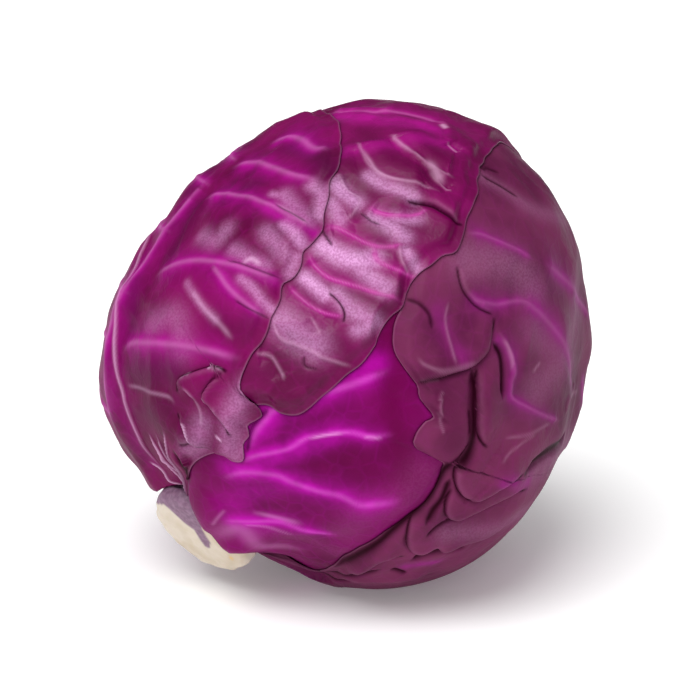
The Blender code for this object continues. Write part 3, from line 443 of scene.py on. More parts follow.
# %% Left leaf
LEFT = {
    "name": "left_leaf", "cells": 270, "centre": (80, -74), "seed": 16,
    "margin": [(15, -70), (16, -38), (24, -26), (33, -21), (39, -12), (43, -5), (50, -6), (57, -7), (59, -14),
               (66, -17), (78, -18), (92, -21), (102, -23), (112, -28), (127, -42), (136, -64),
               (128, -98), (106, -120), (80, -128), (54, -128), (32, -122), (17, -102)],
    "edge": [(13, -70), (12.5, -46), (15, -31), (20.6, -26.6), (25.6, -24), (31, -21.8), (35.6, -18.1),
             (39.6, -13.4),
             (40.4, -10), (40.6, -6.4), (43, -3.4), (46.8, -6.3), (49.8, -6.2), (51.6, -8.1), (54.5, -6.8),
             (56.3, -6.6), (57.6, -9.5), (58.2, -12.6), (60, -14.9), (64.6, -16.2), (67.5, -16.6),
             (70.9, -16.1), (74.9, -16.8), (76.7, -17.5), (80.9, -18.7), (83.8, -20), (86.3, -19),
             (89.8, -19.5), (92.6, -21.1), (94.8, -20.9), (99.2, -21.1), (102.1, -23.1), (105.9, -24.9),
             (109, -27.3), (112.9, -28.9), (116.5, -31.3), (122.3, -38.3), (126.6, -44.5), (130.7, -54.5),
             (133, -66), (128, -98), (106, -120), (80, -128), (54, -128), (32, -122), (15, -102)],
    "midrib": [(14, -80), (34, -73), (62, -71), (92, -68), (122, -68)], "rib": 0.0026,
    "flare": (0.0020, -60, 60), "nip": 3.0,
    "waves": (0.0, 5, 0.0),
    "folds": [(0.0026, 0.0050, [(52, -34), (57, -28), (60, -20)]),
              (0.0026, 0.0050, [(53, -22), (51, -15), (48, -10)]),
              (0.0020, 0.0060, [(40, -26), (44, -18), (44, -9)]),
              (0.0012, 0.0060, [(72, -68), (78, -48), (80, -33), (83, -20)]),
              (0.0012, 0.0060, [(52, -65), (58, -44), (63, -30), (66, -18)]),
              (0.0012, 0.0060, [(96, -56), (101, -36), (100, -22)])],
    "ragged": 0.12, "frill": 0.0, "swell": (0.7, 24), "crumple": (0.55, 13), "quilt": 0.3,
    "strokes": [
        ("band", 0.8, 9.0, [(19, -54.5), (22.5, -58), (26.9, -60.5), (30.9, -60), (35.9, -62), (40.5, -63),
                            (46, -66), (53, -69.5), (62, -72), (70, -75), (78, -80), (86, -87)]),
        ("vein", 0.8, 1.8, [(69.8, -62.7), (74.4, -53.5), (77.5, -45.8), (79.3, -40.6), (81.1, -34.6),
                            (82.3, -28.8), (83, -25.1), (84.2, -20.4)]),
        ("vein", 0.9, 1.6, [(79, -40.2), (77.6, -35.1), (76.3, -30.5), (75.7, -25), (75.7, -17.9)]),
        ("vein", 1.1, 2.2, [(104, -66), (107.4, -59.3), (107.8, -49.4), (107.4, -41.7), (107.6, -36.8),
                            (108.6, -30)]),
        ("vein", 0.9, 2.4, [(116, -66), (120, -56.8), (117.8, -44), (117.4, -36)]),
        ("vein", 1.1, 1.8, [(93, -64), (95.5, -56.8), (97, -45.8), (97.4, -39.4), (97.9, -35),
                            (97.6, -28.6), (97.9, -24.6), (99, -21.6)]),
        ("vein", 1.1, 2.0, [(49, -66), (52.4, -62.4), (55.3, -50.6), (58.8, -38.1), (61.7, -28.6),
                            (64, -21), (65.3, -17)]),
        ("ridge", 0.5, 1.4, [(71.7, -41.5), (69.5, -34.4), (68.5, -27.7), (67.5, -22)]),
        ("ridge", 0.25, 1.0, [(42.8, -62.4), (44.6, -47.2), (47, -34.8), (45.9, -31.5)]),
        ("fold", 1.8, 5.0, [(60.6, -19), (59.8, -22.7), (58.3, -25.2), (54.9, -29.2), (52.5, -31.7),
                            (49, -31.6)]),
        ("ridge", 0.6, 0.8, [(52.3, -29.7), (51.4, -26), (49.1, -22.3), (45.6, -19.8)]),
        ("fold", 1.5, 4.0, [(60.5, -20.3), (56.6, -21.7), (52.9, -22.1), (52.1, -19.4), (51, -16),
                            (50.1, -12.4), (47.6, -9.8)]),
        ("fold", 1.4, 4.0, [(45.3, -29.9), (42.6, -25.3), (40.9, -20.3), (40.4, -15.1)]),
        ("fold", 0.9, 3.0, [(37.1, -27.2), (40.7, -21.5), (41.6, -17), (40.6, -14.7)]),
        ("ridge", 0.5, 0.7, [(53, -18.3), (50.7, -15.7), (50.2, -12.3), (49.3, -11.2)]),
        ("ridge", 0.5, 0.6, [(44.4, -26.6), (41.7, -21.9), (40.7, -18.7)]),
        ("crease", 1.2, 1.6, [(35, -29.6), (33, -28.6), (28.7, -25.5), (23.8, -24.2), (18.4, -24.5),
                              (14, -26)]),
        ("fibre", 0.3, 0.4, [(52.9, -31.2), (54.4, -30.1), (55.5, -28.5)]),
        ("fibre", 0.3, 0.4, [(58.4, -24.9), (59.7, -23.1), (60.5, -20.8)]),
        ("fibre", 0.3, 0.35, [(40.7, -20.8), (41, -18.1), (40.4, -15)]),
        ("fibre", 0.3, 0.35, [(45.7, -14.9), (45.8, -13.3), (45.6, -12)]),
        ("fibre", 0.2, 0.3, [(44.4, -26.6), (42.8, -23.8), (40.9, -20.5)]),
        ("fibre", 0.3, 0.4, [(52.9, -22.1), (52, -20.1), (51.9, -17.9)]),
        ("fibre", 0.7, 0.4, [(32.7, -50.8), (27.4, -45.4), (21, -41.6), (14.7, -32.9)]),
        ("fibre", 0.7, 0.4, [(38.5, -34.9), (31, -34.9), (23, -32.9), (15.5, -29.1)]),
        ("fibre", 0.7, 0.4, [(30.3, -49.8), (24.6, -42.5), (20.9, -34.2), (14, -32.9)]),
        ("fibre", 0.7, 0.4, [(34.3, -43.3), (29.7, -39.4), (24.8, -34.5), (16.2, -29.3)]),
        ("fibre", 0.6, 0.4, [(22.4, -65.8), (20.2, -57.8), (16.8, -55.7), (15.6, -42.8)]),
        ("shade", 0.45, 4.0, [(31, -38), (25, -35), (19, -31), (14, -30)]),
        ("body", 1.6, 6.0, [(34, -103), (28, -107), (22, -110.5), (16, -113), (10, -115)]),
        ("bloom_and_highlight", 0.81, 2.4, [(95.4, -28.7), (94.8, -25.5), (93.9, -22.9)]),
        ("bloom_and_highlight", 0.59, 2.6, [(106.9, -30.8), (106.1, -27.2), (101.9, -24.2)]),
        ("bloom_and_highlight", 0.51, 2.4, [(90.1, -21.3), (86.9, -20.3)]),
        ("sheen", 0.42, 0.8, [(82, -31.9), (84.6, -30.5), (84.5, -26.5)]),
        ("bloom_and_highlight", 0.59, 1.9, [(79.6, -29.3), (79.2, -25.2), (78, -21.1), (77.7, -18.8)]),
        ("bloom_and_highlight", 0.51, 1.6, [(100.6, -38.5), (101.2, -36), (100.2, -32.6)]),
        ("bloom_and_highlight", 0.38, 3.0, [(91.5, -31.3), (89.3, -25.6)]),
        ("bloom_and_highlight", 0.34, 3.5, [(83.7, -49.6), (83.8, -43.7), (87.1, -43)]),
        ("bloom_and_highlight", 0.34, 1.6, [(71.9, -43.1), (69.7, -35.8), (68.9, -30.3)]),
        ("bloom_and_highlight", 0.26, 5.0, [(60, -50), (64, -42), (60, -36)]),
        ("crease", 0.35, 0.4, [(98.6, -35.7), (98.5, -32.2), (98.6, -28.4), (98, -23.7)]),
        ("crease", 0.35, 0.4, [(81.3, -36.6), (82.5, -31.8), (83.7, -24.6), (84.7, -20.8)]),
        ("crease", 0.35, 0.4, [(74.8, -28.1), (75, -23.9), (75.5, -20.1), (75.9, -17.3)]),
        ("glow", 0.9, 2.6, [(97, -39), (96.8, -32.8), (97.4, -27.3), (97.6, -22.8)]),
        ("bloom_and_highlight", 0.45, 3.2, [(91.1, -30.3), (90.3, -26.4), (89.5, -23.6)]),
        ("bloom_and_highlight", 0.45, 3.0, [(84.1, -36.2), (84.1, -31.4), (84.6, -26.3)]),
        ("bloom_and_highlight", 0.45, 3.0, [(101.6, -35.2), (99.8, -29.5), (99, -25.5)]),
        ("sheen", 0.22, 0.9, [(98.9, -37.3), (98.7, -31.3), (98.1, -25.2), (98.7, -21.7)]),
        ("glow", 0.8, 2.6, [(79.3, -40.6), (81.4, -34.9), (82.3, -28.8), (83.2, -23.1)]),
        ("glow", 0.7, 3.0, [(107.2, -60.1), (107.7, -47.7), (107.6, -37.4)]),
        ("wine_and_painted_shade", 0.9, 5.0, [(117.1, -51.7), (115.2, -39.3), (112.8, -31.1)]),
        ("wine_and_painted_shade", 0.8, 6.0, [(89.8, -64.1), (83.7, -62.6), (77, -60.9)]),
        ("wine_and_painted_shade", 0.8, 5.0, [(67.1, -70.7), (61.2, -66.3), (55.6, -63.4)]),
        ("wine_and_painted_shade", 0.6, 5.0, [(101.7, -47.2), (98.3, -50.4), (97.1, -57.4)]),
        ("wine_and_painted_shade", 0.5, 4.0, [(68.7, -29), (69.7, -23), (73, -21.3)]),
        ("wine_and_painted_shade", 0.8, 7.0, [(47, -56), (50, -46), (53, -37)]),
        ("wine_and_painted_shade", 0.6, 6.0, [(36, -56), (40, -44), (44, -36)]),
        ("wine_and_painted_shade", 0.7, 5.0, [(112, -76), (104, -76), (94, -74)]),
        ("bloom_and_highlight", 0.42, 4.0, [(60, -13), (54.6, -13), (49, -11), (43.5, -7)]),
        ("bloom_and_highlight", 0.34, 4.0, [(46, -20), (41.4, -19), (37, -22)]),
    ],
}
print("left leaf:", len(LEFT["strokes"]), "strokes")

# %% [markdown]
# Side veins follow a rule, so the far sides are drawn by a loop: each leaves the midrib at an angle,
# bends towards the leaf's tip, and forks once. A seeded random draw keeps them from looking ruled and
# gives the same veins each time.

# %% Side veins
def side_veins(midrib, polars, sides, reach, seed):
    """Strokes for a midrib and for veins that leave it, bend towards the tip and fork once."""
    draw = np.random.default_rng(seed)
    made = [("vein", 0.7, 2.8, midrib)]
    for polar in polars:
        for side in sides:
            at = polar + draw.uniform(-3, 3)
            far = reach * draw.uniform(0.7, 1.1)
            rise = draw.uniform(12, 22)
            root = float(np.interp(at, *zip(*midrib)))
            bend = [(at + rise * max(share, 0.0) ** 1.4, root + side * share * far)
                    for share in (-0.1, 0.2, 0.45, 0.7, 1.0)]
            made.append(("vein", 0.30, 1.3, bend))
            fork_polar, fork_turn = bend[2]
            fork = bend[1:3] + [(fork_polar + 0.45 * rise, fork_turn + side * 0.16 * far),
                                (fork_polar + 1.0 * rise, fork_turn + side * 0.26 * far)]
            made.append(("vein", 0.22, 0.9, fork))
    return made


BOTH_SIDES, TURN_UP, TURN_DOWN = (-1, 1), (1,), (-1,)
BACK["strokes"] = side_veins(BACK["midrib"], range(30, 122, 15), BOTH_SIDES, 42, 31)
BACK_LEFT["strokes"] = side_veins(BACK_LEFT["midrib"], range(30, 126, 16), BOTH_SIDES, 42, 32)
RIGHT_LEAF["strokes"] += side_veins(RIGHT_LEAF["midrib"], range(46, 122, 17), TURN_UP, 42, 33)
RIGHT_LEAF["strokes"] += side_veins(RIGHT_LEAF["midrib"], range(38, 122, 17), TURN_DOWN, 19, 36)[1:]
CROWN["strokes"] += side_veins([(118, 172), (134, 158), (150, 132)], range(120, 150, 12), BOTH_SIDES, 40, 34)
LEFT["strokes"] += side_veins([(30, -76), (60, -73), (100, -69)], range(34, 112, 15), TURN_DOWN, 46, 35)
LEAVES = [LOW_FRONT, BACK, BACK_LEFT, RIGHT_LEAF, CROWN, LEFT]
print("strokes:", {facts["name"]: len(facts["strokes"]) for facts in LEAVES})

# %% [markdown]
# Lines drawn on the head. A path of a few points is turned into a smooth curve of small steps. For each
# direction the nearest step tells how far it is from the line, on which side, and how far along, which
# is all that a ridge or a hem needs.

# %% Distance to a line on the head
STEPS_A_PIECE = 12


def smooth_path(points):
    """Samples of the Catmull-Rom curve through the points, pressed onto the unit sphere, with tangents."""
    corners = np.array([heading(*point) for point in points])
    corners = np.concatenate([2 * corners[:1] - corners[1:2], corners, 2 * corners[-1:] - corners[-2:-1]])
    t = np.linspace(0.0, 1.0, STEPS_A_PIECE + 1)[:-1, None, None]
    p0, p1, p2, p3 = corners[:-3], corners[1:-2], corners[2:-1], corners[3:]
    curve = 0.5 * (2 * p1 + (p2 - p0) * t + (2 * p0 - 5 * p1 + 4 * p2 - p3) * t ** 2
                   + (3 * p1 - p0 - 3 * p2 + p3) * t ** 3)
    curve = np.concatenate([curve.transpose(1, 0, 2).reshape(-1, 3), corners[-2:-1]])
    curve /= np.linalg.norm(curve, axis=1)[:, None]
    tangents = np.gradient(curve, axis=0)
    tangents /= np.linalg.norm(tangents, axis=1)[:, None]
    steps = np.linalg.norm(np.diff(curve, axis=0), axis=1)
    return curve, tangents, np.concatenate([[0.0], np.cumsum(steps)]) / steps.sum()


def beside_path(ways, points):
    """Signed distance to the left of the path, distance to it, share of its length, and its left."""
    curve, tangents, run = smooth_path(points)
    nearest = np.argmax(ways @ curve.T, axis=1)
    offset = (ways - curve[nearest]) * HALF_DEPTH
    left = np.cross(curve, tangents)[nearest]
    side = (offset * left).sum(axis=1)
    spacing = HALF_DEPTH * np.linalg.norm(curve[1] - curve[0])
    ahead = np.maximum(np.abs((offset * tangents[nearest]).sum(axis=1)) - spacing, 0.0)
    away = np.hypot(side, ahead)
    at_end = (nearest == 0) | (nearest == len(curve) - 1)
    return np.where(at_end, side, np.copysign(away, side)), away, run[nearest], left


print("samples on the first stroke:", len(smooth_path(LEFT["strokes"][0][3])[0]))

# %% [markdown]
# Waves and crumples. A leaf's blade is never even: it swells between its veins and crumples in sharp
# little ridges. Sums of cosines on the unit sphere give both without a seam, and one minus the size of
# such a sum has sharp crests and round hollows, as a crumpled leaf has.

# %% Waves and crumples
WAVES = 14


def wavy(ways, size, seed):
    """A sum of 14 cosines in drawn directions, each about this size in metres, between about -1 and 1."""
    draw = np.random.default_rng(seed)
    axes = draw.normal(size=(WAVES, 3))
    stretch = 2 * math.pi * HALF_DEPTH / size * draw.uniform(0.7, 1.3, WAVES) / np.linalg.norm(axes, axis=1)
    axes *= stretch[:, None]
    return np.cos(ways @ axes.T + draw.uniform(0, 2 * math.pi, WAVES)).sum(axis=1) / math.sqrt(WAVES)


def crumpled(ways, size, seed):
    """Ridged waves, 1 - |w|, of two sizes on directions that are themselves shifted by slow waves."""
    shift = np.stack([wavy(ways, 3 * size, seed + i) for i in range(3)], axis=1) * 0.35 * size / HALF_DEPTH
    moved = ways + shift
    broad = 1.0 - np.sqrt(wavy(moved, 2 * size, seed + 5) ** 2 + 0.01)
    small = 1.0 - np.sqrt(wavy(moved, size, seed + 6) ** 2 + 0.03)
    return 0.75 * broad + 0.25 * small


print("crumple at the viewer's side:", round(float(crumpled(VIEWER[None], 14 * MM, 1)[0]), 2))

# %% [markdown]
# A leaf's margin is a closed curve round its centre. Its reach at each bearing is a cubic through the
# points of the list, so the curve passes through each point and has no corners between them.

# %% Closed margin
def distance_to_path(ways, points):
    """Metres at the head's surface to a path of straight steps between (polar, turn) points."""
    corners = [heading(*point) for point in points]
    nearest = np.full(len(ways), 9.0)
    for start, end in zip(corners, corners[1:]):
        step = end - start
        along = np.clip((ways - start) @ step / step.dot(step), 0.0, 1.0)
        nearest = np.minimum(nearest, np.linalg.norm(ways - start - along[:, None] * step, axis=1))
    return nearest * HALF_DEPTH


class Ring:
    """A closed curve round a leaf's centre: its reach at any bearing, by a cubic through its points."""

    def __init__(self, reach, bearing):
        order = np.argsort(bearing)
        full = 2 * math.pi
        sorted_bearing, sorted_reach = bearing[order], reach[order]
        self.bearings = np.concatenate([sorted_bearing[-2:] - full, sorted_bearing,
                                        sorted_bearing[:2] + full])
        self.reaches = np.concatenate([sorted_reach[-2:], sorted_reach, sorted_reach[:2]])
        rise = (self.reaches[2:] - self.reaches[:-2]) / (self.bearings[2:] - self.bearings[:-2])
        self.slopes = np.concatenate([[0.0], rise, [0.0]])

    def reach(self, bearing):
        """Hermite cubic between the two nearest points."""
        at = np.clip(np.searchsorted(self.bearings, bearing) - 1, 1, len(self.bearings) - 3)
        width = self.bearings[at + 1] - self.bearings[at]
        t = (bearing - self.bearings[at]) / width
        return ((2 * t ** 3 - 3 * t ** 2 + 1) * self.reaches[at]
                + (t ** 3 - 2 * t ** 2 + t) * width * self.slopes[at]
                + (3 * t ** 2 - 2 * t ** 3) * self.reaches[at + 1]
                + (t ** 3 - t ** 2) * width * self.slopes[at + 1])


print("a ring of four points reaches", float(Ring(np.ones(4), np.arange(4.0)).reach(np.array([0.5]))[0]))

# %% [markdown]
# The leaf itself. Cover, lift and thickness are the CAD model's formulas, so the stack of leaves has the
# same radii. The edge adds a slight raggedness, because a cut or torn margin is never a smooth curve.

# %% The leaf
MARGIN_FADE, BASE_FADE, COVER_BLEND = math.radians(18), math.radians(10), math.radians(60)
BASE_POLAR, BASE_REACH, BASE_SWELL = math.radians(14), math.radians(9), 0.0012
RIB_WIDTH, RIB_TAPER_START, RIB_TAPER_REACH = 0.0050, math.radians(30), math.radians(100)
WAVE_START, WAVE_RISE, FLARE_REACH = 0.7, 0.25, math.radians(12)
NOTCHES, NOTCH_SPREAD = 12, 2.4


class Leaf:
    """One wrapper leaf, with the CAD model's cover, lift and thickness and its own finer edge."""

    def __init__(self, facts):
        self.facts = facts
        self.middle = heading(*facts["centre"])
        stemward = STEM_AXIS - STEM_AXIS.dot(self.middle) * self.middle
        self.stemward = stemward / np.linalg.norm(stemward)
        self.sideways = np.cross(self.middle, self.stemward)
        self.margin = Ring(*self.chart(np.array([heading(*point) for point in facts["margin"]])))
        edge = facts.get("edge", facts["margin"])
        self.edge = Ring(*self.chart(np.array([heading(*point) for point in edge])))
        draw = np.random.default_rng(facts["seed"])
        self.notches = [(int(count), draw.uniform(0, 6.28), draw.uniform(0.3, 1.0))
                        for count in draw.integers(9, 50, NOTCHES)]

    def chart(self, ways):
        """Angle from the leaf's centre, and bearing round it from the stem's side."""
        reach = np.arccos(np.clip(ways @ self.middle, -1.0, 1.0))
        return reach, np.arctan2(ways @ self.sideways, ways @ self.stemward)

    def edge_reach(self, bearing):
        """The edge's cubic plus twelve small sines of the bearing, together about the ragged angle."""
        ragged = sum(size * np.sin(count * bearing + phase) for count, phase, size in self.notches)
        return self.edge.reach(bearing) + math.radians(self.facts["ragged"]) * ragged / NOTCH_SPREAD

    def inside(self, ways):
        """Metres inside the edge, negative outside it."""
        reach, bearing = self.chart(ways)
        return (self.edge_reach(bearing) - reach) * HALF_DEPTH

    def cover(self, ways):
        """1 over the leaf, fading to 0 past its margin, so that the next leaf rides up on it."""
        reach, bearing = self.chart(ways)
        up_the_head = smooth_step(polar_angle(ways) / COVER_BLEND)
        fade = BASE_FADE + (MARGIN_FADE - BASE_FADE) * up_the_head
        return smooth_step(1.0 - (reach - self.margin.reach(bearing)) / fade)

    def lift(self, ways, widening=1.0):
        """The CAD model's folds and margin waves: the largest bell of its folds over a wave at the margin."""
        height, count, phase = self.facts["waves"]
        reach, bearing = self.chart(ways)
        band = smooth_step((reach / self.margin.reach(bearing) - WAVE_START) / WAVE_RISE)
        raised = height * band * (0.5 + 0.5 * np.sin(count * bearing + phase))
        for fold_height, width, points in self.facts["folds"]:
            away = distance_to_path(ways, points) / (width * widening)
            raised = np.maximum(raised, fold_height * bell(away, 1.0))
        return raised + self.flare(ways)

    def flare(self, ways):
        """How far the base reaches along the stump: a bell in polar angle times a bell in turn."""
        reach, toward, spread = self.facts.get("flare", (0.0, 0, 60))
        from_base = (polar_angle(ways) - BASE_POLAR) / FLARE_REACH
        from_turn = ((turn_angle(ways) - toward + 180) % 360 - 180) / spread
        return reach * np.exp(-from_base ** 2 - from_turn ** 2)

    def thickness(self, ways, widening=1.0):
        """Blade, plus a bell along the midrib and a bell at the base."""
        polar = polar_angle(ways)
        away = distance_to_path(ways, self.facts["midrib"]) / (RIB_WIDTH * widening)
        rib = self.facts["rib"] * bell(away, 1.0)
        taper = 1.0 - smooth_step((polar - RIB_TAPER_START) / RIB_TAPER_REACH)
        swell = BASE_SWELL * np.exp(-((polar - BASE_POLAR) / BASE_REACH) ** 2)
        return LEAF_THICKNESS + rib * taper + swell

    def directions(self, cells):
        """A square of cells pressed into a disc, then stretched to the edge at each bearing."""
        line = np.linspace(-1.0, 1.0, cells + 1)
        across, along = np.meshgrid(line, line, indexing="ij")
        wide = np.abs(across) > np.abs(along)
        safe_across = np.where(across == 0, 1.0, across)
        safe_along = np.where(along == 0, 1.0, along)
        radius = np.where(wide, across, along)
        angle = np.where(wide, math.pi / 4 * along / safe_across,
                         math.pi / 2 - math.pi / 4 * across / safe_along)
        turned = angle + math.radians(self.facts.get("grid_turn", 0))
        bearing = np.angle(radius * np.exp(1j * turned)).ravel()
        reach = np.abs(radius).ravel() * self.edge_reach(bearing)
        around = np.cos(bearing)[:, None] * self.stemward + np.sin(bearing)[:, None] * self.sideways
        return np.cos(reach)[:, None] * self.middle + np.sin(reach)[:, None] * around


print("the left leaf's middle, seen from the head's centre:", np.round(Leaf(LEFT).middle, 2))

# %% [markdown]
# The stack of leaves. Each leaf lies on the sum of all that is under it, so the radii add up from the
# inner head outwards, and a leaf that lies above rides over the margin of the one below. Near the stem
# the points are pushed out to clear the stump, and near the table up to clear it.

# %% The stack of leaves
def stack_top(ways, leaves):
    """The inner head's radius plus, for each leaf, its cover times its relief and the gap."""
    top = inner_radius(ways)
    for leaf in leaves:
        relief = leaf.lift(ways, UNDERLAY) + leaf.thickness(ways, UNDERLAY)
        top = top + leaf.cover(ways) * (relief + LEAF_GAP)
    return top


def points_at(ways, radii, lowest):
    """World points at these radii, pushed out to clear the stem and up to clear the table."""
    along = np.outer(radii * (ways @ STEM_AXIS), STEM_AXIS)
    across = ways * radii[:, None] - along
    off_axis = np.linalg.norm(across, axis=1)
    wanted = np.where(ways @ STEM_AXIS > 0, STEM_RADIUS + STEM_CLEARANCE, 0.0)
    points = CENTRE + along + across * (np.maximum(off_axis, wanted) / np.maximum(off_axis, 1e-9))[:, None]
    points[:, 2] = np.maximum(points[:, 2], lowest)
    return points


leaves = [Leaf(facts) for facts in LEAVES]
print("leaves, inner to outer:", [leaf.facts["name"] for leaf in leaves])

# %% [markdown]
# Relief, stains and painted light of a leaf. Strokes add a profile to the leaf's radius and paint five
# tints: magenta over veins; pale wax bloom mixed with painted highlight; the leaf's deeper wine red with
# painted shade in hollows; pale stretched or torn skin with painted highlights and glints on crests and
# edges; and painted shade in creases, under folds and beside overlapping edges. Every stroke fades at
# both ends, because a fold on a leaf never stops at once.

# %% Relief, stains and painted light
TINTS = ("vein", "bloom_and_highlight", "wine_and_painted_shade", "pale_skin_and_highlight", "painted_shade_and_old_skin")
# Stroke kinds that only paint a tint: glow is vein magenta, bloom is pale wax with painted highlight, wine is
# deeper red with painted shade, sheen is a painted glint, shade is painted shade.
STAINS_AND_PAINTED_LIGHT = {"glow": "vein", "bloom_and_highlight": "bloom_and_highlight", "wine_and_painted_shade": "wine_and_painted_shade", "sheen": "pale_skin_and_highlight", "shade": "painted_shade_and_old_skin"}
END_FADE, PAINTED_GLINT_FADE, BODY_FADE, ROLL_FADE, CREASE_FADE = 0.16, 0.3, 0.4, 0.25, 0.08
CORD_END, PUCKER_REACH = 12 * MM, 3.0 * MM


def faded(run, share):
    """0 at both ends of a stroke and 1 between, rising over this share of its length."""
    return smooth_step(run / share) * smooth_step((1.0 - run) / share)


def past_the_ends(stroke, reach):
    """Fade beyond the path's first and last points, where the distance is more than the side distance."""
    return np.exp(-np.maximum(stroke.away ** 2 - stroke.side ** 2, 0.0) / reach ** 2)


class Stroke:
    """A stroke as each direction meets it: its sizes in metres, and the side, distance and run there."""

    def __init__(self, ways, size, width, points):
        self.strength, self.height, self.width = size, size * MM, width * MM
        self.side, self.away, self.run, self.left = beside_path(ways, points)
        self.ends = faded(self.run, END_FADE)
        self.near = bell(self.away, self.width)


class Relief:
    """What the strokes add for each direction: lift, sideways lean, and the tints from 0 to 1."""

    def __init__(self, count):
        self.lift, self.lean = np.zeros(count), np.zeros((count, 3))
        self.tint = {name: np.zeros(count) for name in TINTS}
        self.cord_distance = np.full(count, 1.0)

    def paint(self, name, strength):
        """The stronger of the tint that is there and this one."""
        self.tint[name] = np.maximum(self.tint[name], strength)

    def add_cord(self, stroke):
        """Keep the distance to the nearest vein or ridge, which counts less where that fades out."""
        self.cord_distance = np.minimum(self.cord_distance, stroke.away + CORD_END * (1.0 - stroke.ends))


print("stains:", STAINS_AND_PAINTED_LIGHT)

# %% [markdown]
# Cords and steps. A vein is a round cord that tapers away from the midrib, with a glow in the skin over
# it and a painted highlight line on top. A ridge is a sharper cord of pale stretched skin with a painted
# highlight on its crest, a fibre a thin torn one, and a body a broad soft swelling. A band is a raised
# strip with a painted highlight line along its edge. A step is a low terrace with one steep side, and a
# dip a broad hollow.

# %% Cords, swellings and steps
def draw_vein(relief, stroke):
    """A bell that narrows along its run, a glow of two wider bells, and a thin painted highlight line on top.
    """
    taper = 1.4 - 0.8 * stroke.run
    width = taper * stroke.width
    relief.lift += stroke.height * bell(stroke.away, width) * (0.6 + 0.4 * taper) * stroke.ends
    glow = 0.65 * bell(stroke.away, 1.2 * width) + 0.35 * bell(stroke.away, 3.2 * width)
    relief.paint("vein", glow * stroke.ends)
    relief.paint("pale_skin_and_highlight", 0.12 * bell(stroke.away, 0.5 * stroke.width) * stroke.ends)
    relief.add_cord(stroke)


def draw_ridge(relief, stroke):
    """A crest, exp(-x^1.4), which is sharper than a bell, with a pale line on it, partly stretched skin and
    partly painted highlight.
    """
    relief.lift += stroke.height * np.exp(-(stroke.away / stroke.width) ** 1.4) * stroke.ends
    relief.paint("pale_skin_and_highlight", 0.20 * bell(stroke.away, 0.6 * stroke.width) * stroke.ends)
    relief.add_cord(stroke)


def draw_fibre(relief, stroke):
    """A thin bell that is pale all over, partly the torn fibre's own colour and partly painted highlight."""
    relief.lift += stroke.height * stroke.near * stroke.ends
    relief.paint("pale_skin_and_highlight", 0.7 * stroke.near * stroke.ends)


def draw_body(relief, stroke):
    """A broad bell that rises slowly from both ends."""
    relief.lift += stroke.height * stroke.near * faded(stroke.run, BODY_FADE)


def draw_dip(relief, stroke):
    """A broad bell taken away."""
    relief.lift -= stroke.height * stroke.near * stroke.ends


def draw_step(relief, stroke):
    """A steep rise across the path, then a slow fall on its left."""
    ends = stroke.ends * past_the_ends(stroke, 2.0 * MM)
    fall = bell(np.maximum(stroke.side - stroke.width, 0.0), 2 * stroke.width)
    relief.lift += stroke.height * smooth_step(stroke.side / stroke.width + 0.5) * ends * fall


def draw_band(relief, stroke):
    """A raised band on the left of the path as wide as the stroke, with a painted highlight line along its
    edge.
    """
    far_side = smooth_step((stroke.width - stroke.side) / (5 * MM))
    raised = smooth_step(stroke.side / (1.2 * MM) + 0.5) * far_side
    relief.lift += stroke.height * raised * stroke.ends
    relief.paint("vein", 0.22 * raised * smooth_step(stroke.run / 0.05))
    relief.paint("pale_skin_and_highlight", 0.40 * bell(stroke.side - 0.6 * MM, 0.45 * MM) * stroke.ends)


print("a vein 1 mm high is", round(1.0 * (0.6 + 0.4 * 1.4), 2), "mm high at its root")

# %% [markdown]
# Creases and folds. A crease is a narrow groove with painted shade in it, pointed at both ends. A fold
# is a lapped hem: it rises in a quarter circle on the left of its path, falls slowly behind, leans out
# over the low side, has a line of painted shade under its lip and a faint painted highlight on top.
# The lean makes a real overhang, which a radius alone can't give.

# %% Creases and folds
def draw_crease(relief, stroke):
    """A bell taken away, narrower towards its ends, with painted shade that is darker the deeper it is."""
    pointed = stroke.width * (0.3 + 0.7 * stroke.ends)
    relief.lift -= stroke.height * bell(stroke.away, pointed) * stroke.ends
    strength = min(1.0, 0.35 + stroke.height / (1.2 * MM))
    relief.paint("painted_shade_and_old_skin", strength * (bell(stroke.away, 0.9 * pointed) * stroke.ends ** 0.5))


def draw_fold(relief, stroke):
    """A quarter circle up on the left, a slow bell down, a lean over the low side, a line of painted shade
    there and a faint painted highlight on the lip.
    """
    height, side = stroke.height, stroke.side
    beyond = past_the_ends(stroke, 1.5 * MM)
    sharp = faded(stroke.run, CREASE_FADE) * beyond
    ends = faded(stroke.run, ROLL_FADE) * beyond
    roll = 0.8 * MM + 0.5 * height
    rounded = np.sqrt(np.clip(1.0 - (1.0 - np.clip(side / roll, 0.0, 1.0)) ** 2, 0.0, 1.0))
    relief.lift += height * rounded * bell(np.maximum(side - roll, 0.0), 1.2 * stroke.width) * ends
    relief.lift -= 0.25 * height * bell(side + 0.8 * MM, MM) * ends
    relief.lean -= stroke.left * (0.5 * height * bell(side - 0.6 * MM, MM) * ends)[:, None]
    low = bell(side + 0.4 * MM, 0.35 * MM + 0.15 * height) * sharp
    relief.paint("painted_shade_and_old_skin", np.minimum(1.0, 0.6 + height / (3 * MM)) * low)
    relief.paint("pale_skin_and_highlight", 0.06 * (bell(side - 0.8 * MM, 0.5 * MM) * ends))


def draw_stain_and_painted_light(relief, stroke, kind):
    """A bell of one tint, a stain or painted light. A painted glint fades towards its ends, as a glint of
    light does.
    """
    ends = faded(stroke.run, PAINTED_GLINT_FADE) if kind == "sheen" else 1.0
    relief.paint(STAINS_AND_PAINTED_LIGHT[kind], stroke.strength * stroke.near * ends)


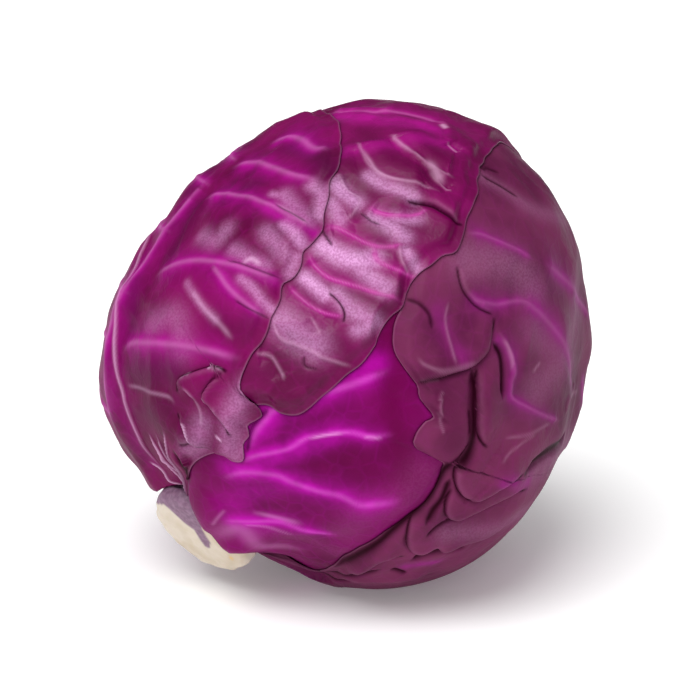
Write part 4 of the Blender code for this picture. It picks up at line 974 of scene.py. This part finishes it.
DRAW = {"vein": draw_vein, "ridge": draw_ridge, "fibre": draw_fibre, "body": draw_body, "dip": draw_dip,
        "step": draw_step, "band": draw_band, "crease": draw_crease, "fold": draw_fold}


def drawn_strokes(leaf, ways):
    """All strokes of a leaf in their order, then the pucker of its skin beside the cords."""
    relief = Relief(len(ways))
    for kind, size, width, points in leaf.facts["strokes"]:
        stroke = Stroke(ways, size, width, points)
        if kind in STAINS_AND_PAINTED_LIGHT:
            draw_stain_and_painted_light(relief, stroke, kind)
        else:
            DRAW[kind](relief, stroke)
    relief.lift -= leaf.facts["quilt"] * MM * bell(relief.cord_distance, PUCKER_REACH)
    return relief


print("kinds of stroke:", sorted(DRAW), sorted(STAINS_AND_PAINTED_LIGHT))

# %% [markdown]
# The two faces of a leaf. Swell and crumple are added over the strokes, the margin curls up a little,
# and a leaf bulges where a neighbour's edge presses on it. Under a leaf that lies above, the relief goes
# back to the CAD model's, so hidden parts never poke through. Near its edge a leaf settles on whatever
# lies under it, so no edge floats. Painted shade darkens a leaf just outside each edge that lies over
# it, and its own edge gets a thin pale line, partly the cut edge and partly painted highlight.

# %% Faces of a leaf
PILLOW, PILLOW_REACH, MARGIN_RISE, MARGIN_REACH = 0.0011, 0.014, 0.0005, 12 * MM
BASE_END, BASE_BLEND = math.radians(18), math.radians(14)
LOWEST_LIFT, OVERLAP_FADE, SEAM_SHADE, FRILL_BAND, FRILL_SIZE = -0.6 * MM, 4 * MM, 0.5 * MM, 6 * MM, 9 * MM
SETTLE_BAND, SETTLE_FADE, RESTING_GAP = 7 * MM, 5 * MM, 0.12 * MM
THIN_BAND, RIM_LINE, TOUCH_BAND = 2.5 * MM, 0.3 * MM, 0.3 * MM


def leaf_surface(place, ways):
    """Radii of the lower and upper face, the lean, and the tints, all for the leaf in its place."""
    leaf, below, above = leaves[place], leaves[:place], leaves[place + 1:]
    facts = leaf.facts
    relief = drawn_strokes(leaf, ways)
    lift, tint = relief.lift, relief.tint
    swell, swell_size = facts["swell"]
    crumple, crumple_size = facts["crumple"]
    inside = leaf.inside(ways)
    up_the_head = smooth_step((polar_angle(ways) - BASE_END) / BASE_BLEND)
    margin_band = smooth_step(1.0 - inside / FRILL_BAND) * up_the_head
    lift += swell * MM * (0.5 + 0.5 * wavy(ways, swell_size * MM, facts["seed"])) * up_the_head
    lift += crumple * MM * crumpled(ways, crumple_size * MM, facts["seed"] + 40) * up_the_head
    lift += facts["frill"] * MM * margin_band * (1.0 + wavy(ways, FRILL_SIZE, facts["seed"] + 60))
    lift += MARGIN_RISE * bell(inside, MARGIN_REACH) * up_the_head
    hidden, pressed, shade = np.zeros(len(ways)), np.zeros(len(ways)), np.zeros(len(ways))
    for other in above:
        depth = other.inside(ways)
        outside = np.maximum(-depth, 0.0)
        hidden = np.maximum(hidden, smooth_step(depth / OVERLAP_FADE))
        bulge = bell(outside, PILLOW_REACH) * smooth_step(1.0 - depth / OVERLAP_FADE)
        pressed = np.maximum(pressed, bulge)
        shade = np.maximum(shade, np.exp(-outside / SEAM_SHADE))
    nipped = facts.get("nip", 0.0) * MM * (1.0 - up_the_head)
    lift = np.maximum(lift, LOWEST_LIFT) + leaf.flare(ways) - nipped
    lift = leaf.lift(ways) * hidden + lift * (1.0 - hidden)
    lower = stack_top(ways, below) + lift + PILLOW * pressed * up_the_head
    near = np.flatnonzero((inside < SETTLE_BAND) & (up_the_head > 0))
    if len(near) and place:
        rest = resting_radius(place, ways[near])
        follow = smooth_step(1.2 - inside[near] / SETTLE_FADE) * up_the_head[near]
        held = np.where(rest > 0, lower[near] + follow * (rest - lower[near]), lower[near])
        lower[near] = np.maximum(held, np.where(rest > 0, rest, 0.0) * (up_the_head[near] > 0.5))
    thin = smooth_step(1.0 - inside / THIN_BAND) * up_the_head
    blade = leaf.thickness(ways) * (1.0 - 0.6 * thin)
    # A thin pale line along the leaf's own edge: partly the cut edge, partly painted highlight.
    relief.paint("pale_skin_and_highlight", 0.12 * bell(inside, RIM_LINE))
    # Painted shade: a dark line just outside each edge of a leaf that lies over this one.
    relief.paint("painted_shade_and_old_skin", 0.7 * shade)
    return lower, lower + blade, relief.lean * (1.0 - hidden)[:, None], tint


def resting_radius(place, ways):
    """Radius just above the highest leaf that lies under these directions, or 0 where none does."""
    highest = np.zeros(len(ways))
    for other in range(place):
        over = np.flatnonzero(leaves[other].inside(ways) > -TOUCH_BAND)
        if len(over):
            upper = leaf_surface(other, ways[over])[1]
            highest[over] = np.maximum(highest[over], upper + RESTING_GAP)
    return highest


print("left leaf at the viewer's side, mm:", round(float(leaf_surface(5, VIEWER[None])[1][0]) / MM, 1))

# %% [markdown]
# The mesh of a leaf. Its outer face is a fine square grid pressed into the leaf's outline, its inner
# face has every third line of that grid, because nobody sees it closely, and a rim joins the two, so
# the piece is closed. Each cell is cut along the diagonal that points away from the grid's middle.

# %% Mesh of a leaf
INNER_SHARE = 3


def grid_triangles(cells, first, outward):
    """Two triangles a cell, cut along the diagonal that points away from the grid's middle."""
    corner = first + np.arange(cells)[:, None] * (cells + 1) + np.arange(cells)[None, :]
    a, b = corner.ravel(), corner.ravel() + cells + 1
    c, d = b + 1, a + 1
    from_middle = np.arange(cells) - (cells - 1) / 2
    turned = (from_middle[:, None] * from_middle[None, :] < 0).ravel()
    a, b, c, d = (np.where(turned, q, p) for p, q in ((a, b), (b, c), (c, d), (d, a)))
    triangles = np.concatenate([np.stack([a, b, c], axis=1), np.stack([a, c, d], axis=1)])
    return triangles if outward else triangles[:, ::-1]


def rim_walk(cells):
    """Numbers of the grid's edge points, in order once round."""
    row, side = cells + 1, np.arange(cells)
    return np.concatenate([side * row, cells * row + side, (cells - side) * row + cells, cells - side])


def rim_triangles(cells, coarse, count):
    """Three fine steps and one coarse step a turn, from the fine rim to the coarse one."""
    fine_rim, coarse_rim = rim_walk(cells), count + rim_walk(coarse)
    step = [np.roll(fine_rim, -k)[::INNER_SHARE] for k in range(INNER_SHARE + 1)]
    rim = [np.stack([step[k], coarse_rim, step[k + 1]], axis=1) for k in range(INNER_SHARE)]
    rim.append(np.stack([step[INNER_SHARE], coarse_rim, np.roll(coarse_rim, -1)], axis=1))
    return np.concatenate(rim)


def add_piece(name, points, triangles, tints):
    """A mesh object of these points and triangles, shaded smooth, with its tints kept on the points."""
    mesh = bpy.data.meshes.new(name)
    mesh.from_pydata(points, [], triangles)
    mesh.shade_smooth()
    for key, values in tints.items():
        layer = mesh.attributes.new(key, "FLOAT", "POINT")
        layer.data.foreach_set("value", np.clip(values, 0.0, 1.0).astype(np.float32))
    piece = bpy.data.objects.new(name, mesh)
    bpy.context.scene.collection.objects.link(piece)
    return piece


def grow_leaf(place):
    """The outer face on the fine grid, the inner face on every third line of it, and the rim between."""
    leaf = leaves[place]
    facts = leaf.facts
    resting = facts["name"] == "right_leaf"
    cells = facts["cells"] // 1
    coarse = cells // INNER_SHARE
    cells = coarse * INNER_SHARE
    fine_ways, coarse_ways = leaf.directions(cells), leaf.directions(coarse)
    _, upper, lean, tint = leaf_surface(place, fine_ways)
    lower, _, low_lean, low_tint = leaf_surface(place, coarse_ways)
    outer_points = points_at(fine_ways, upper, 0.0) + lean
    inner_points = points_at(coarse_ways, lower, 0.0) + low_lean
    outer_floor = 0.0 if resting else RESTING_CLEARANCE + LEAF_THICKNESS
    inner_floor = LEAF_THICKNESS if resting else RESTING_CLEARANCE
    outer_points[:, 2] = np.maximum(outer_points[:, 2], outer_floor)
    inner_points[:, 2] = np.maximum(inner_points[:, 2], inner_floor)
    outer = grid_triangles(cells, 0, True)
    edge_ab = outer_points[outer[:, 1]] - outer_points[outer[:, 0]]
    edge_ac = outer_points[outer[:, 2]] - outer_points[outer[:, 0]]
    facing_out = (np.cross(edge_ab, edge_ac) * fine_ways[outer[:, 0]]).sum() > 0
    count = (cells + 1) ** 2
    faces = np.concatenate([outer, grid_triangles(coarse, count, False), rim_triangles(cells, coarse, count)])
    if not facing_out:
        faces = faces[:, ::-1]
    tints = {key: np.concatenate([tint[key], low_tint[key]]) for key in TINTS}
    return add_piece(facts["name"] + "_blade", np.concatenate([outer_points, inner_points]), faces, tints)


print("triangles of the smallest grid:", len(grid_triangles(BACK["cells"], 0, True)))

# %% [markdown]
# Skins. A cabbage leaf is a deep purple skin over white flesh, with a thin wax on top. The skin's
# pigment thins over the veins, where it turns magenta, and it is missing along cut edges. A soft coat
# over a rougher base gives the broad milky highlights of wax, and a fine bump breaks them into grains.
# The strokes' painted highlights and painted shade are mixed into the base colour as well.

# %% Skins of the leaves
def linear(code):
    """sRGB hex code to linear red, green, blue and alpha 1."""
    shares = [int(code[i:i + 2], 16) / 255 for i in (1, 3, 5)]
    return [s / 12.92 if s <= 0.04045 else ((s + 0.055) / 1.055) ** 2.4 for s in shares] + [1.0]


def add_node(tree, kind, settings, links):
    """A node with its settings (properties or input values) and the sockets that feed its inputs."""
    made = tree.nodes.new(kind)
    for key, value in settings.items():
        if isinstance(key, str) and hasattr(made, key):
            setattr(made, key, value)
        else:
            made.inputs[key].default_value = value
    for key, source in links.items():
        tree.links.new(source, made.inputs[key])
    return made


def mix(tree, first, second, share):
    """Colour mix: each colour is a hex code or a socket, and the share is a number or a socket."""
    settings, links = {"data_type": "RGBA"}, {}
    for key, value in ((0, share), (6, first), (7, second)):
        if isinstance(value, bpy.types.NodeSocket):
            links[key] = value
        else:
            settings[key] = linear(value) if isinstance(value, str) else value
    return add_node(tree, "ShaderNodeMix", settings, links).outputs[2]


def spread(tree, source, low, high, to_low=0.0, to_high=1.0):
    """The source's range low to high stretched to another range, held at its ends."""
    settings = {"From Min": low, "From Max": high, "To Min": to_low, "To Max": to_high}
    return add_node(tree, "ShaderNodeMapRange", settings, {"Value": source}).outputs["Result"]


print("a mid grey in linear colour:", [round(share, 3) for share in linear("#808080")])

# %% [markdown]
# The skin is layered: deep flesh colour in slow patches, the main colour over it, a net of fine veins,
# then the deeper wine red with painted shade in hollows, wax bloom with painted highlight, glowing
# veins, pale stretched skin with painted highlights, and painted shade in creases. The strokes' tints
# say where each layer shows.

# %% Layers of a leaf's skin
PATCH_SIZE, MOTTLE_SIZE, NET_SIZE, PORE_SIZE = 30 * MM, 7 * MM, 5.5 * MM, 0.7 * MM


def leaf_skin(name, deep, main, vein, bloom_and_highlight, wine_and_painted_shade, pale_skin_and_highlight, painted_shade_and_old_skin, coat, grain):
    """Deep to main colour in slow patches, then grains of wax bloom with painted highlight, wine red with
    painted shade, veins, pale skin with painted highlight, and painted shade.
    """
    material = bpy.data.materials.new(name)
    material.use_nodes = True
    tree = material.node_tree
    shader = tree.nodes["Principled BSDF"]
    place = add_node(tree, "ShaderNodeTexCoord", {}, {}).outputs["Object"]
    patches = add_node(tree, "ShaderNodeTexNoise", {"Scale": 1 / PATCH_SIZE, "Detail": 3.0},
                       {"Vector": place})
    mottle = add_node(tree, "ShaderNodeTexNoise", {"Scale": 1 / MOTTLE_SIZE, "Detail": 4.0},
                      {"Vector": place})
    net = add_node(tree, "ShaderNodeTexVoronoi", {"feature": "DISTANCE_TO_EDGE", "Scale": 1 / NET_SIZE},
                   {"Vector": place})
    pores = add_node(tree, "ShaderNodeTexNoise", {"Scale": 1 / PORE_SIZE, "Detail": 1.0}, {"Vector": place})
    tints = {key: add_node(tree, "ShaderNodeAttribute", {"attribute_name": key}, {}).outputs["Fac"]
             for key in TINTS}
    colour = mix(tree, deep, main, spread(tree, patches.outputs["Fac"], 0.38, 0.62))
    colour = mix(tree, colour, main, spread(tree, mottle.outputs["Fac"], 0.45, 0.70, 0.0, 0.45))
    colour = mix(tree, colour, vein, spread(tree, net.outputs["Distance"], 0.0, 0.12, 0.08, 0.0))
    glow = add_node(tree, "ShaderNodeMath", {"operation": "MULTIPLY"},
                    {0: tints["vein"], 1: spread(tree, mottle.outputs["Fac"], 0.35, 0.6, 0.6, 1.0)})
    # Grains of wax bloom, which also carry painted highlight.
    bloom_and_highlight_grains = add_node(tree, "ShaderNodeMath", {"operation": "MULTIPLY"},
                    {0: tints["bloom_and_highlight"], 1: spread(tree, pores.outputs["Fac"], 0.36, 0.62, 0.62, 1.0)})
    # Wine red is the leaf's deeper colour with painted shade in hollows, bloom is pale wax with painted
    # highlight, pale is stretched skin with painted highlights and glints, and the last mix is painted shade
    # in creases, under folds and beside overlapping edges.
    colour = mix(tree, colour, wine_and_painted_shade, tints["wine_and_painted_shade"])
    colour = mix(tree, colour, bloom_and_highlight, bloom_and_highlight_grains.outputs["Value"])
    colour = mix(tree, colour, vein, glow.outputs["Value"])
    colour = mix(tree, colour, pale_skin_and_highlight, tints["pale_skin_and_highlight"])
    colour = mix(tree, colour, painted_shade_and_old_skin, tints["painted_shade_and_old_skin"])
    tree.links.new(colour, shader.inputs["Base Color"])
    shader.inputs["Roughness"].default_value = 0.5
    shader.inputs["Specular IOR Level"].default_value = 0.03
    tree.links.new(spread(tree, tints["painted_shade_and_old_skin"], 0.2, 0.8, coat, 0.0), shader.inputs["Coat Weight"])
    shader.inputs["Coat Roughness"].default_value = 0.32
    lines = add_node(tree, "ShaderNodeBump", {"Strength": 0.12, "Distance": 0.0004, "invert": True},
                     {"Height": spread(tree, net.outputs["Distance"], 0.0, 0.12)})
    fine = add_node(tree, "ShaderNodeBump", {"Strength": grain, "Distance": 0.00012},
                    {"Height": pores.outputs["Fac"], "Normal": lines.outputs["Normal"]})
    tree.links.new(lines.outputs["Normal"], shader.inputs["Normal"])
    tree.links.new(fine.outputs["Normal"], shader.inputs["Coat Normal"])
    return material


print("tints that a skin reads:", TINTS)

# %% [markdown]
# Five skins. The colours were set beside the photo: bright magenta low in front, dull purple on
# the left, mauve on the right, glossy purple with pale bloom and painted highlight on the crown, and a
# paler inner head.

# %% The five skins
# Each skin's colours: deep, main, vein, bloom with painted highlight, wine with painted shade, pale with
# painted highlight, painted shade, then coat and grain.
smooth_skin = leaf_skin("smooth_magenta_skin", "#5a023c", "#760456", "#ba08a8", "#7c2c62", "#60003e",
                        "#e89adc", "#2b0018", 0.03, 0.4)
left_skin = leaf_skin("dull_purple_skin", "#540234", "#72064c", "#9c0480", "#cc8cc2", "#4c0434",
                      "#e4b4da", "#24000f", 0.10, 0.8)
right_skin = leaf_skin("mauve_skin", "#581a3e", "#702a50", "#8e1c78", "#90587c", "#54163a",
                       "#c48cae", "#24000f", 0.05, 0.5)
crown_skin = leaf_skin("wrinkled_purple_skin", "#560236", "#740650", "#a80a84", "#dca0d6", "#580038",
                       "#e8b4da", "#2b0018", 0.20, 1.0)
inner_skin = leaf_skin("inner_leaf_skin", "#6a1050", "#8c2a74", "#b060a0", "#b060a0", "#6a1050",
                       "#e0b8d4", "#2b0018", 0.05, 0.3)
print("skins made:", len(bpy.data.materials))

# %% [markdown]
# Now the leaves grow, from the innermost to the outermost. Each one replaces its CAD node and rides on
# the head's only body, because nothing on a cabbage moves by itself.

# %% Grow the leaves
SKINS = {"low_front_leaf": (smooth_skin, "smooth_leaf"), "back_leaf": (right_skin, "outer_leaf"),
         "back_left_leaf": (right_skin, "outer_leaf"), "right_leaf": (right_skin, "outer_leaf"),
         "crown_leaf": (crown_skin, "wrinkled_leaf"), "left_leaf": (left_skin, "outer_leaf")}
for place, leaf in enumerate(leaves):
    node_name = leaf.facts["name"]
    skin, slot_name = SKINS[node_name]
    blade = grow_leaf(place)
    blade.data.materials.append(skin)
    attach(blade, "root")
    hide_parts(node_name)
    print(blade.name, len(blade.data.polygons), "triangles")

# %% [markdown]
# The tight inner head shows only through gaps between leaf bases. It is a cube's six faces blown up to
# its form, which spreads the cells evenly, and it is cut flat where the stem enters.

# %% Inner head
INNER_CELLS = 40
line = np.tan(np.linspace(-math.pi / 4, math.pi / 4, INNER_CELLS + 1))
across, along = np.meshgrid(line, line, indexing="ij")
ones = np.ones_like(across)
sheets = [np.stack(order, axis=-1).reshape(-1, 3) for order in (
    (ones, across, along), (-ones, along, across), (along, ones, across),
    (across, -ones, along), (across, along, ones), (along, across, -ones))]
sheet_count = (INNER_CELLS + 1) ** 2
cube = np.concatenate(sheets)
faces = np.concatenate([grid_triangles(INNER_CELLS, i * sheet_count, True) for i in range(6)])
_, first, index = np.unique(np.round(cube, 6), axis=0, return_index=True, return_inverse=True)
ways = cube[first] / np.linalg.norm(cube[first], axis=1)[:, None]
points = CENTRE + ways * (inner_radius(ways) - LEAF_GAP)[:, None]
points[:, 2] = np.maximum(points[:, 2], RESTING_CLEARANCE)
past = (points - CENTRE) @ STEM_AXIS - (STEM_ROOT - LEAF_GAP)
points -= np.maximum(past, 0.0)[:, None] * STEM_AXIS
plain = {key: np.zeros(len(points)) for key in TINTS}
inner = add_piece("inner_head_ball", points, index.reshape(-1)[faces], plain)
inner.data.materials.append(inner_skin)
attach(inner, "root")
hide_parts("inner_head")
print(inner.name, len(inner.data.polygons), "triangles")

# %% [markdown]
# The stem is a turned profile with a slanting knife cut. Its flesh is cream and fibrous, and yellow
# where it has dried. Low lumps along the rim keep it from looking lathed.

# %% Stem
STEM_SIDES, STEM_RINGS = 180, 90
STEM_BEVEL, STEM_FOOT_RADIUS = 0.0035, 0.0300
STEM_WAIST, STEM_WAIST_RADIUS, STEM_NECK = 0.0630, 0.0210, 0.0655
profile = np.array([(STEM_ROOT, 0.0), (STEM_ROOT, STEM_FOOT_RADIUS), (STEM_WAIST, STEM_WAIST_RADIUS),
                    (STEM_NECK, STEM_NECK_RADIUS),
                    (STEM_SHOULDER - STEM_CLEARANCE, STEM_NECK_RADIUS), (STEM_SHOULDER, STEM_RADIUS),
                    (STEM_END - STEM_BEVEL, STEM_RADIUS),
                    (STEM_END - 0.3 * STEM_BEVEL, STEM_RADIUS - 0.3 * STEM_BEVEL),
                    (STEM_END, STEM_RADIUS - STEM_BEVEL), (STEM_END, STEM_RADIUS / 2), (STEM_END, 0.0)])
length = np.concatenate([[0.0], np.cumsum(np.linalg.norm(np.diff(profile, axis=0), axis=1))])
at = np.linspace(0.0, length[-1], STEM_RINGS + 2)[1:-1]
along = np.interp(at, length, profile[:, 0])[:, None]
radius = np.interp(at, length, profile[:, 1])[:, None]
turns = np.linspace(0, 2 * math.pi, STEM_SIDES, endpoint=False)[None, :]
waves = np.sin(5 * turns + 0.7) + np.sin(9 * turns + 2.1) + np.sin(14 * turns)
lumps = 0.25 * MM * waves * radius / STEM_RADIUS
toward = (radius + lumps) * np.cos(turns)
beside = (radius + lumps) * np.sin(turns)
cut = np.clip((along - STEM_SHOULDER) / (STEM_END - STEM_SHOULDER), 0.0, 1.0)
saw = 0.12 * MM * np.sin(beside / (0.9 * MM)) * (along > STEM_END - 0.4 * MM)
reach = along - math.tan(STEM_CUT_SLANT) * cut * toward + saw
points = (CENTRE + reach[..., None] * STEM_AXIS + toward[..., None] * FRONT_SIDE
          + beside[..., None] * RIGHT_SIDE).reshape(-1, 3)
points = np.concatenate([points, CENTRE + np.outer([STEM_ROOT, STEM_END], STEM_AXIS)])
ring, turn = np.meshgrid(np.arange(STEM_RINGS - 1), np.arange(STEM_SIDES), indexing="ij")
a, b = (ring * STEM_SIDES + turn).ravel(), (ring * STEM_SIDES + (turn + 1) % STEM_SIDES).ravel()
c, d = b + STEM_SIDES, a + STEM_SIDES
wheel = np.arange(STEM_SIDES)
root_tip, end_tip = len(points) - 2, len(points) - 1
last = (STEM_RINGS - 1) * STEM_SIDES
faces = np.concatenate([
    np.stack([a, c, b], axis=1), np.stack([a, d, c], axis=1),
    np.stack([np.full(STEM_SIDES, root_tip), wheel, (wheel + 1) % STEM_SIDES], axis=1),
    np.stack([np.full(STEM_SIDES, end_tip), last + (wheel + 1) % STEM_SIDES, last + wheel], axis=1)])
print("stem points:", len(points))

# %% [markdown]
# A patch of old skin was left on the stump when it was cut, and its neck is covered in the same skin.
# The patch's edge is a list of points in mm as the viewer sees them. A point lies within it if a line to
# the side crosses the edge an odd number of times, and its distance from the edge softens the border.

# %% Old skin on the stump
SCAR_EDGE = [(-66.6, -43.4), (-63.1, -52.7), (-60.3, -52.6), (-57.0, -55.5), (-54.0, -58.5),
             (-50.5, -61.0), (-48.7, -64.3), (-46.9, -67.1), (-45.5, -67.3), (-45.1, -65.3),
             (-46.4, -63.0), (-47.7, -60.3), (-46.7, -55.4), (-42.7, -51.4), (-42.7, -43.4)]
scar = smooth_step((STEM_SHOULDER + 1.0 * MM + 1.2 * MM * np.sin(7 * turns) - along) / (2.0 * MM))
scar = np.append(np.broadcast_to(scar, toward.shape).ravel(), [1.0, 0.0])
seen = np.stack([(points - CENTRE) @ RIGHT, (points - CENTRE) @ UPWARD], axis=1) / MM
strip, within = np.full(len(points), 99.0), np.zeros(len(points), dtype=bool)
for start, end in zip(SCAR_EDGE, SCAR_EDGE[1:] + SCAR_EDGE[:1]):
    step = np.array(end) - np.array(start)
    share = np.clip((seen - start) @ step / step.dot(step), 0.0, 1.0)
    strip = np.minimum(strip, np.linalg.norm(seen - start - share[:, None] * step, axis=1))
    crossed = (start[1] > seen[:, 1]) != (end[1] > seen[:, 1])
    at_height = start[0] + (seen[:, 1] - start[1]) * step[0] / (step[1] if step[1] else 1e-9)
    within ^= crossed & (seen[:, 0] < at_height)
inward = np.where(within, strip, -strip)
scar = np.maximum(scar, smooth_step(0.5 + inward / 0.7) * ((points - CENTRE) @ VIEWER > 0))
# The old skin goes into the tint that holds painted shade on the leaves; on the stump it is the skin's own
# colour.
stem = add_piece("stem_stump", points + (0.6 * MM * scar)[:, None] * VIEWER, faces, {"painted_shade_and_old_skin": scar})
print("stem points with old skin:", int((scar > 0.5).sum()))

# %% [markdown]
# The cut flesh is cream with fine fibres, yellower in a few blotches where it has dried. A little light
# goes into it, as into any fresh cut stem.

# %% Flesh of the stem
BLOTCH_SIZE, FIBRE_SIZE = 9 * MM, 1.6 * MM
flesh = bpy.data.materials.new("cream_stem_flesh")
flesh.use_nodes = True
tree = flesh.node_tree
place = add_node(tree, "ShaderNodeTexCoord", {}, {}).outputs["Object"]
blotch = add_node(tree, "ShaderNodeTexNoise", {"Scale": 1 / BLOTCH_SIZE, "Detail": 3.0}, {"Vector": place})
fibre = add_node(tree, "ShaderNodeTexNoise", {"Scale": 1 / FIBRE_SIZE, "Detail": 3.0}, {"Vector": place})
colour = mix(tree, "#d4c8b8", "#c4b49c", spread(tree, blotch.outputs["Fac"], 0.42, 0.70))
colour = mix(tree, colour, "#d8b15a", spread(tree, blotch.outputs["Fac"], 0.66, 0.74, 0.0, 0.8))
colour = mix(tree, colour, "#c9bf9c", spread(tree, fibre.outputs["Fac"], 0.5, 0.75, 0.0, 0.4))
scar_tint = add_node(tree, "ShaderNodeAttribute", {"attribute_name": "painted_shade_and_old_skin"}, {}).outputs["Fac"]
old_skin = mix(tree, "#6e4a66", "#8a6882", spread(tree, fibre.outputs["Fac"], 0.35, 0.70))
colour = mix(tree, colour, old_skin, scar_tint)
shader = tree.nodes["Principled BSDF"]
tree.links.new(colour, shader.inputs["Base Color"])
shader.inputs["Roughness"].default_value = 0.6
shader.inputs["Subsurface Weight"].default_value = 0.15
shader.inputs["Subsurface Radius"].default_value = (0.004, 0.003, 0.002)
relief = {"Strength": 0.5, "Distance": 0.0003}
bump = add_node(tree, "ShaderNodeBump", relief, {"Height": fibre.outputs["Fac"]})
tree.links.new(bump.outputs["Normal"], shader.inputs["Normal"])
stem.data.materials.append(flesh)
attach(stem, "root")
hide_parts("stem")
print(stem.name, len(stem.data.polygons), "triangles")

# %% [markdown]
# The head lies on white paper that runs past the frame on all sides. It glows a little, because a
# photographer's paper is lit until it is almost white.

# %% Table
TABLE_REACH = 6.0
table_mesh = bpy.data.meshes.new("table_top")
corners = [(x * TABLE_REACH, y * TABLE_REACH, 0.0) for x, y in ((-1, -1), (1, -1), (1, 1), (-1, 1))]
table_mesh.from_pydata(corners, [], [(0, 1, 2, 3)])
table_top = bpy.data.objects.new("table_top", table_mesh)
bpy.context.scene.collection.objects.link(table_top)
paper = bpy.data.materials.new("white_paper")
paper.use_nodes = True
paper_shader = paper.node_tree.nodes["Principled BSDF"]
paper_shader.inputs["Base Color"].default_value = (0.93, 0.93, 0.93, 1.0)
paper_shader.inputs["Roughness"].default_value = 0.9
paper_shader.inputs["Specular IOR Level"].default_value = 0.1
paper_shader.inputs["Emission Color"].default_value = (1.0, 1.0, 1.0, 1.0)
paper_shader.inputs["Emission Strength"].default_value = 0.15
table_mesh.materials.append(paper)
print("table:", table_top.name)

# %% [markdown]
# Two suns shine from high on the left and in front, and a white room fills the shade. A sun lights the
# table evenly to its far end, and the wide discs make the shadow soft.

# %% Light
LAMP_WAY = (-0.23, -0.44, 0.87)
for name, energy, disc in (("key_lamp", 2.5, 44), ("wide_lamp", 1.6, 110)):
    lamp = bpy.data.objects.new(name, bpy.data.lights.new(name, "SUN"))
    lamp.data.energy, lamp.data.angle = energy, math.radians(disc)
    lamp.rotation_euler = Vector(LAMP_WAY).to_track_quat("Z", "Y").to_euler()
    bpy.context.scene.collection.objects.link(lamp)

room = bpy.data.worlds.new("white_room")
room.use_nodes = True
room.node_tree.nodes["Background"].inputs["Color"].default_value = (1.0, 1.0, 1.0, 1.0)
room.node_tree.nodes["Background"].inputs["Strength"].default_value = 0.14
bpy.context.scene.world = room
print("lamps:", len(bpy.data.lights))

# %% [markdown]
# The camera looks along the viewer's line from far away with a long lens, because the photo shows the
# head almost without perspective.

# %% Camera
VIEW_DISTANCE, FRAME_WIDTH, SENSOR_WIDTH = 1.10, 0.2345, 36.0
AIM_RIGHT, AIM_DOWN = 0.0010, 0.0017
aim = CENTRE + AIM_RIGHT * RIGHT - AIM_DOWN * UPWARD
camera = bpy.data.objects.new("camera", bpy.data.cameras.new("camera"))
camera.data.lens = SENSOR_WIDTH * VIEW_DISTANCE / FRAME_WIDTH
camera.location = aim + VIEW_DISTANCE * VIEWER
camera.rotation_euler = Vector(-VIEWER).to_track_quat("-Z", "Y").to_euler()
camera.data.clip_start, camera.data.clip_end = 0.05, 50.0
bpy.context.scene.collection.objects.link(camera)
bpy.context.scene.camera = camera
bpy.context.scene.view_settings.view_transform = "Standard"
print("lens, mm:", round(camera.data.lens, 1))
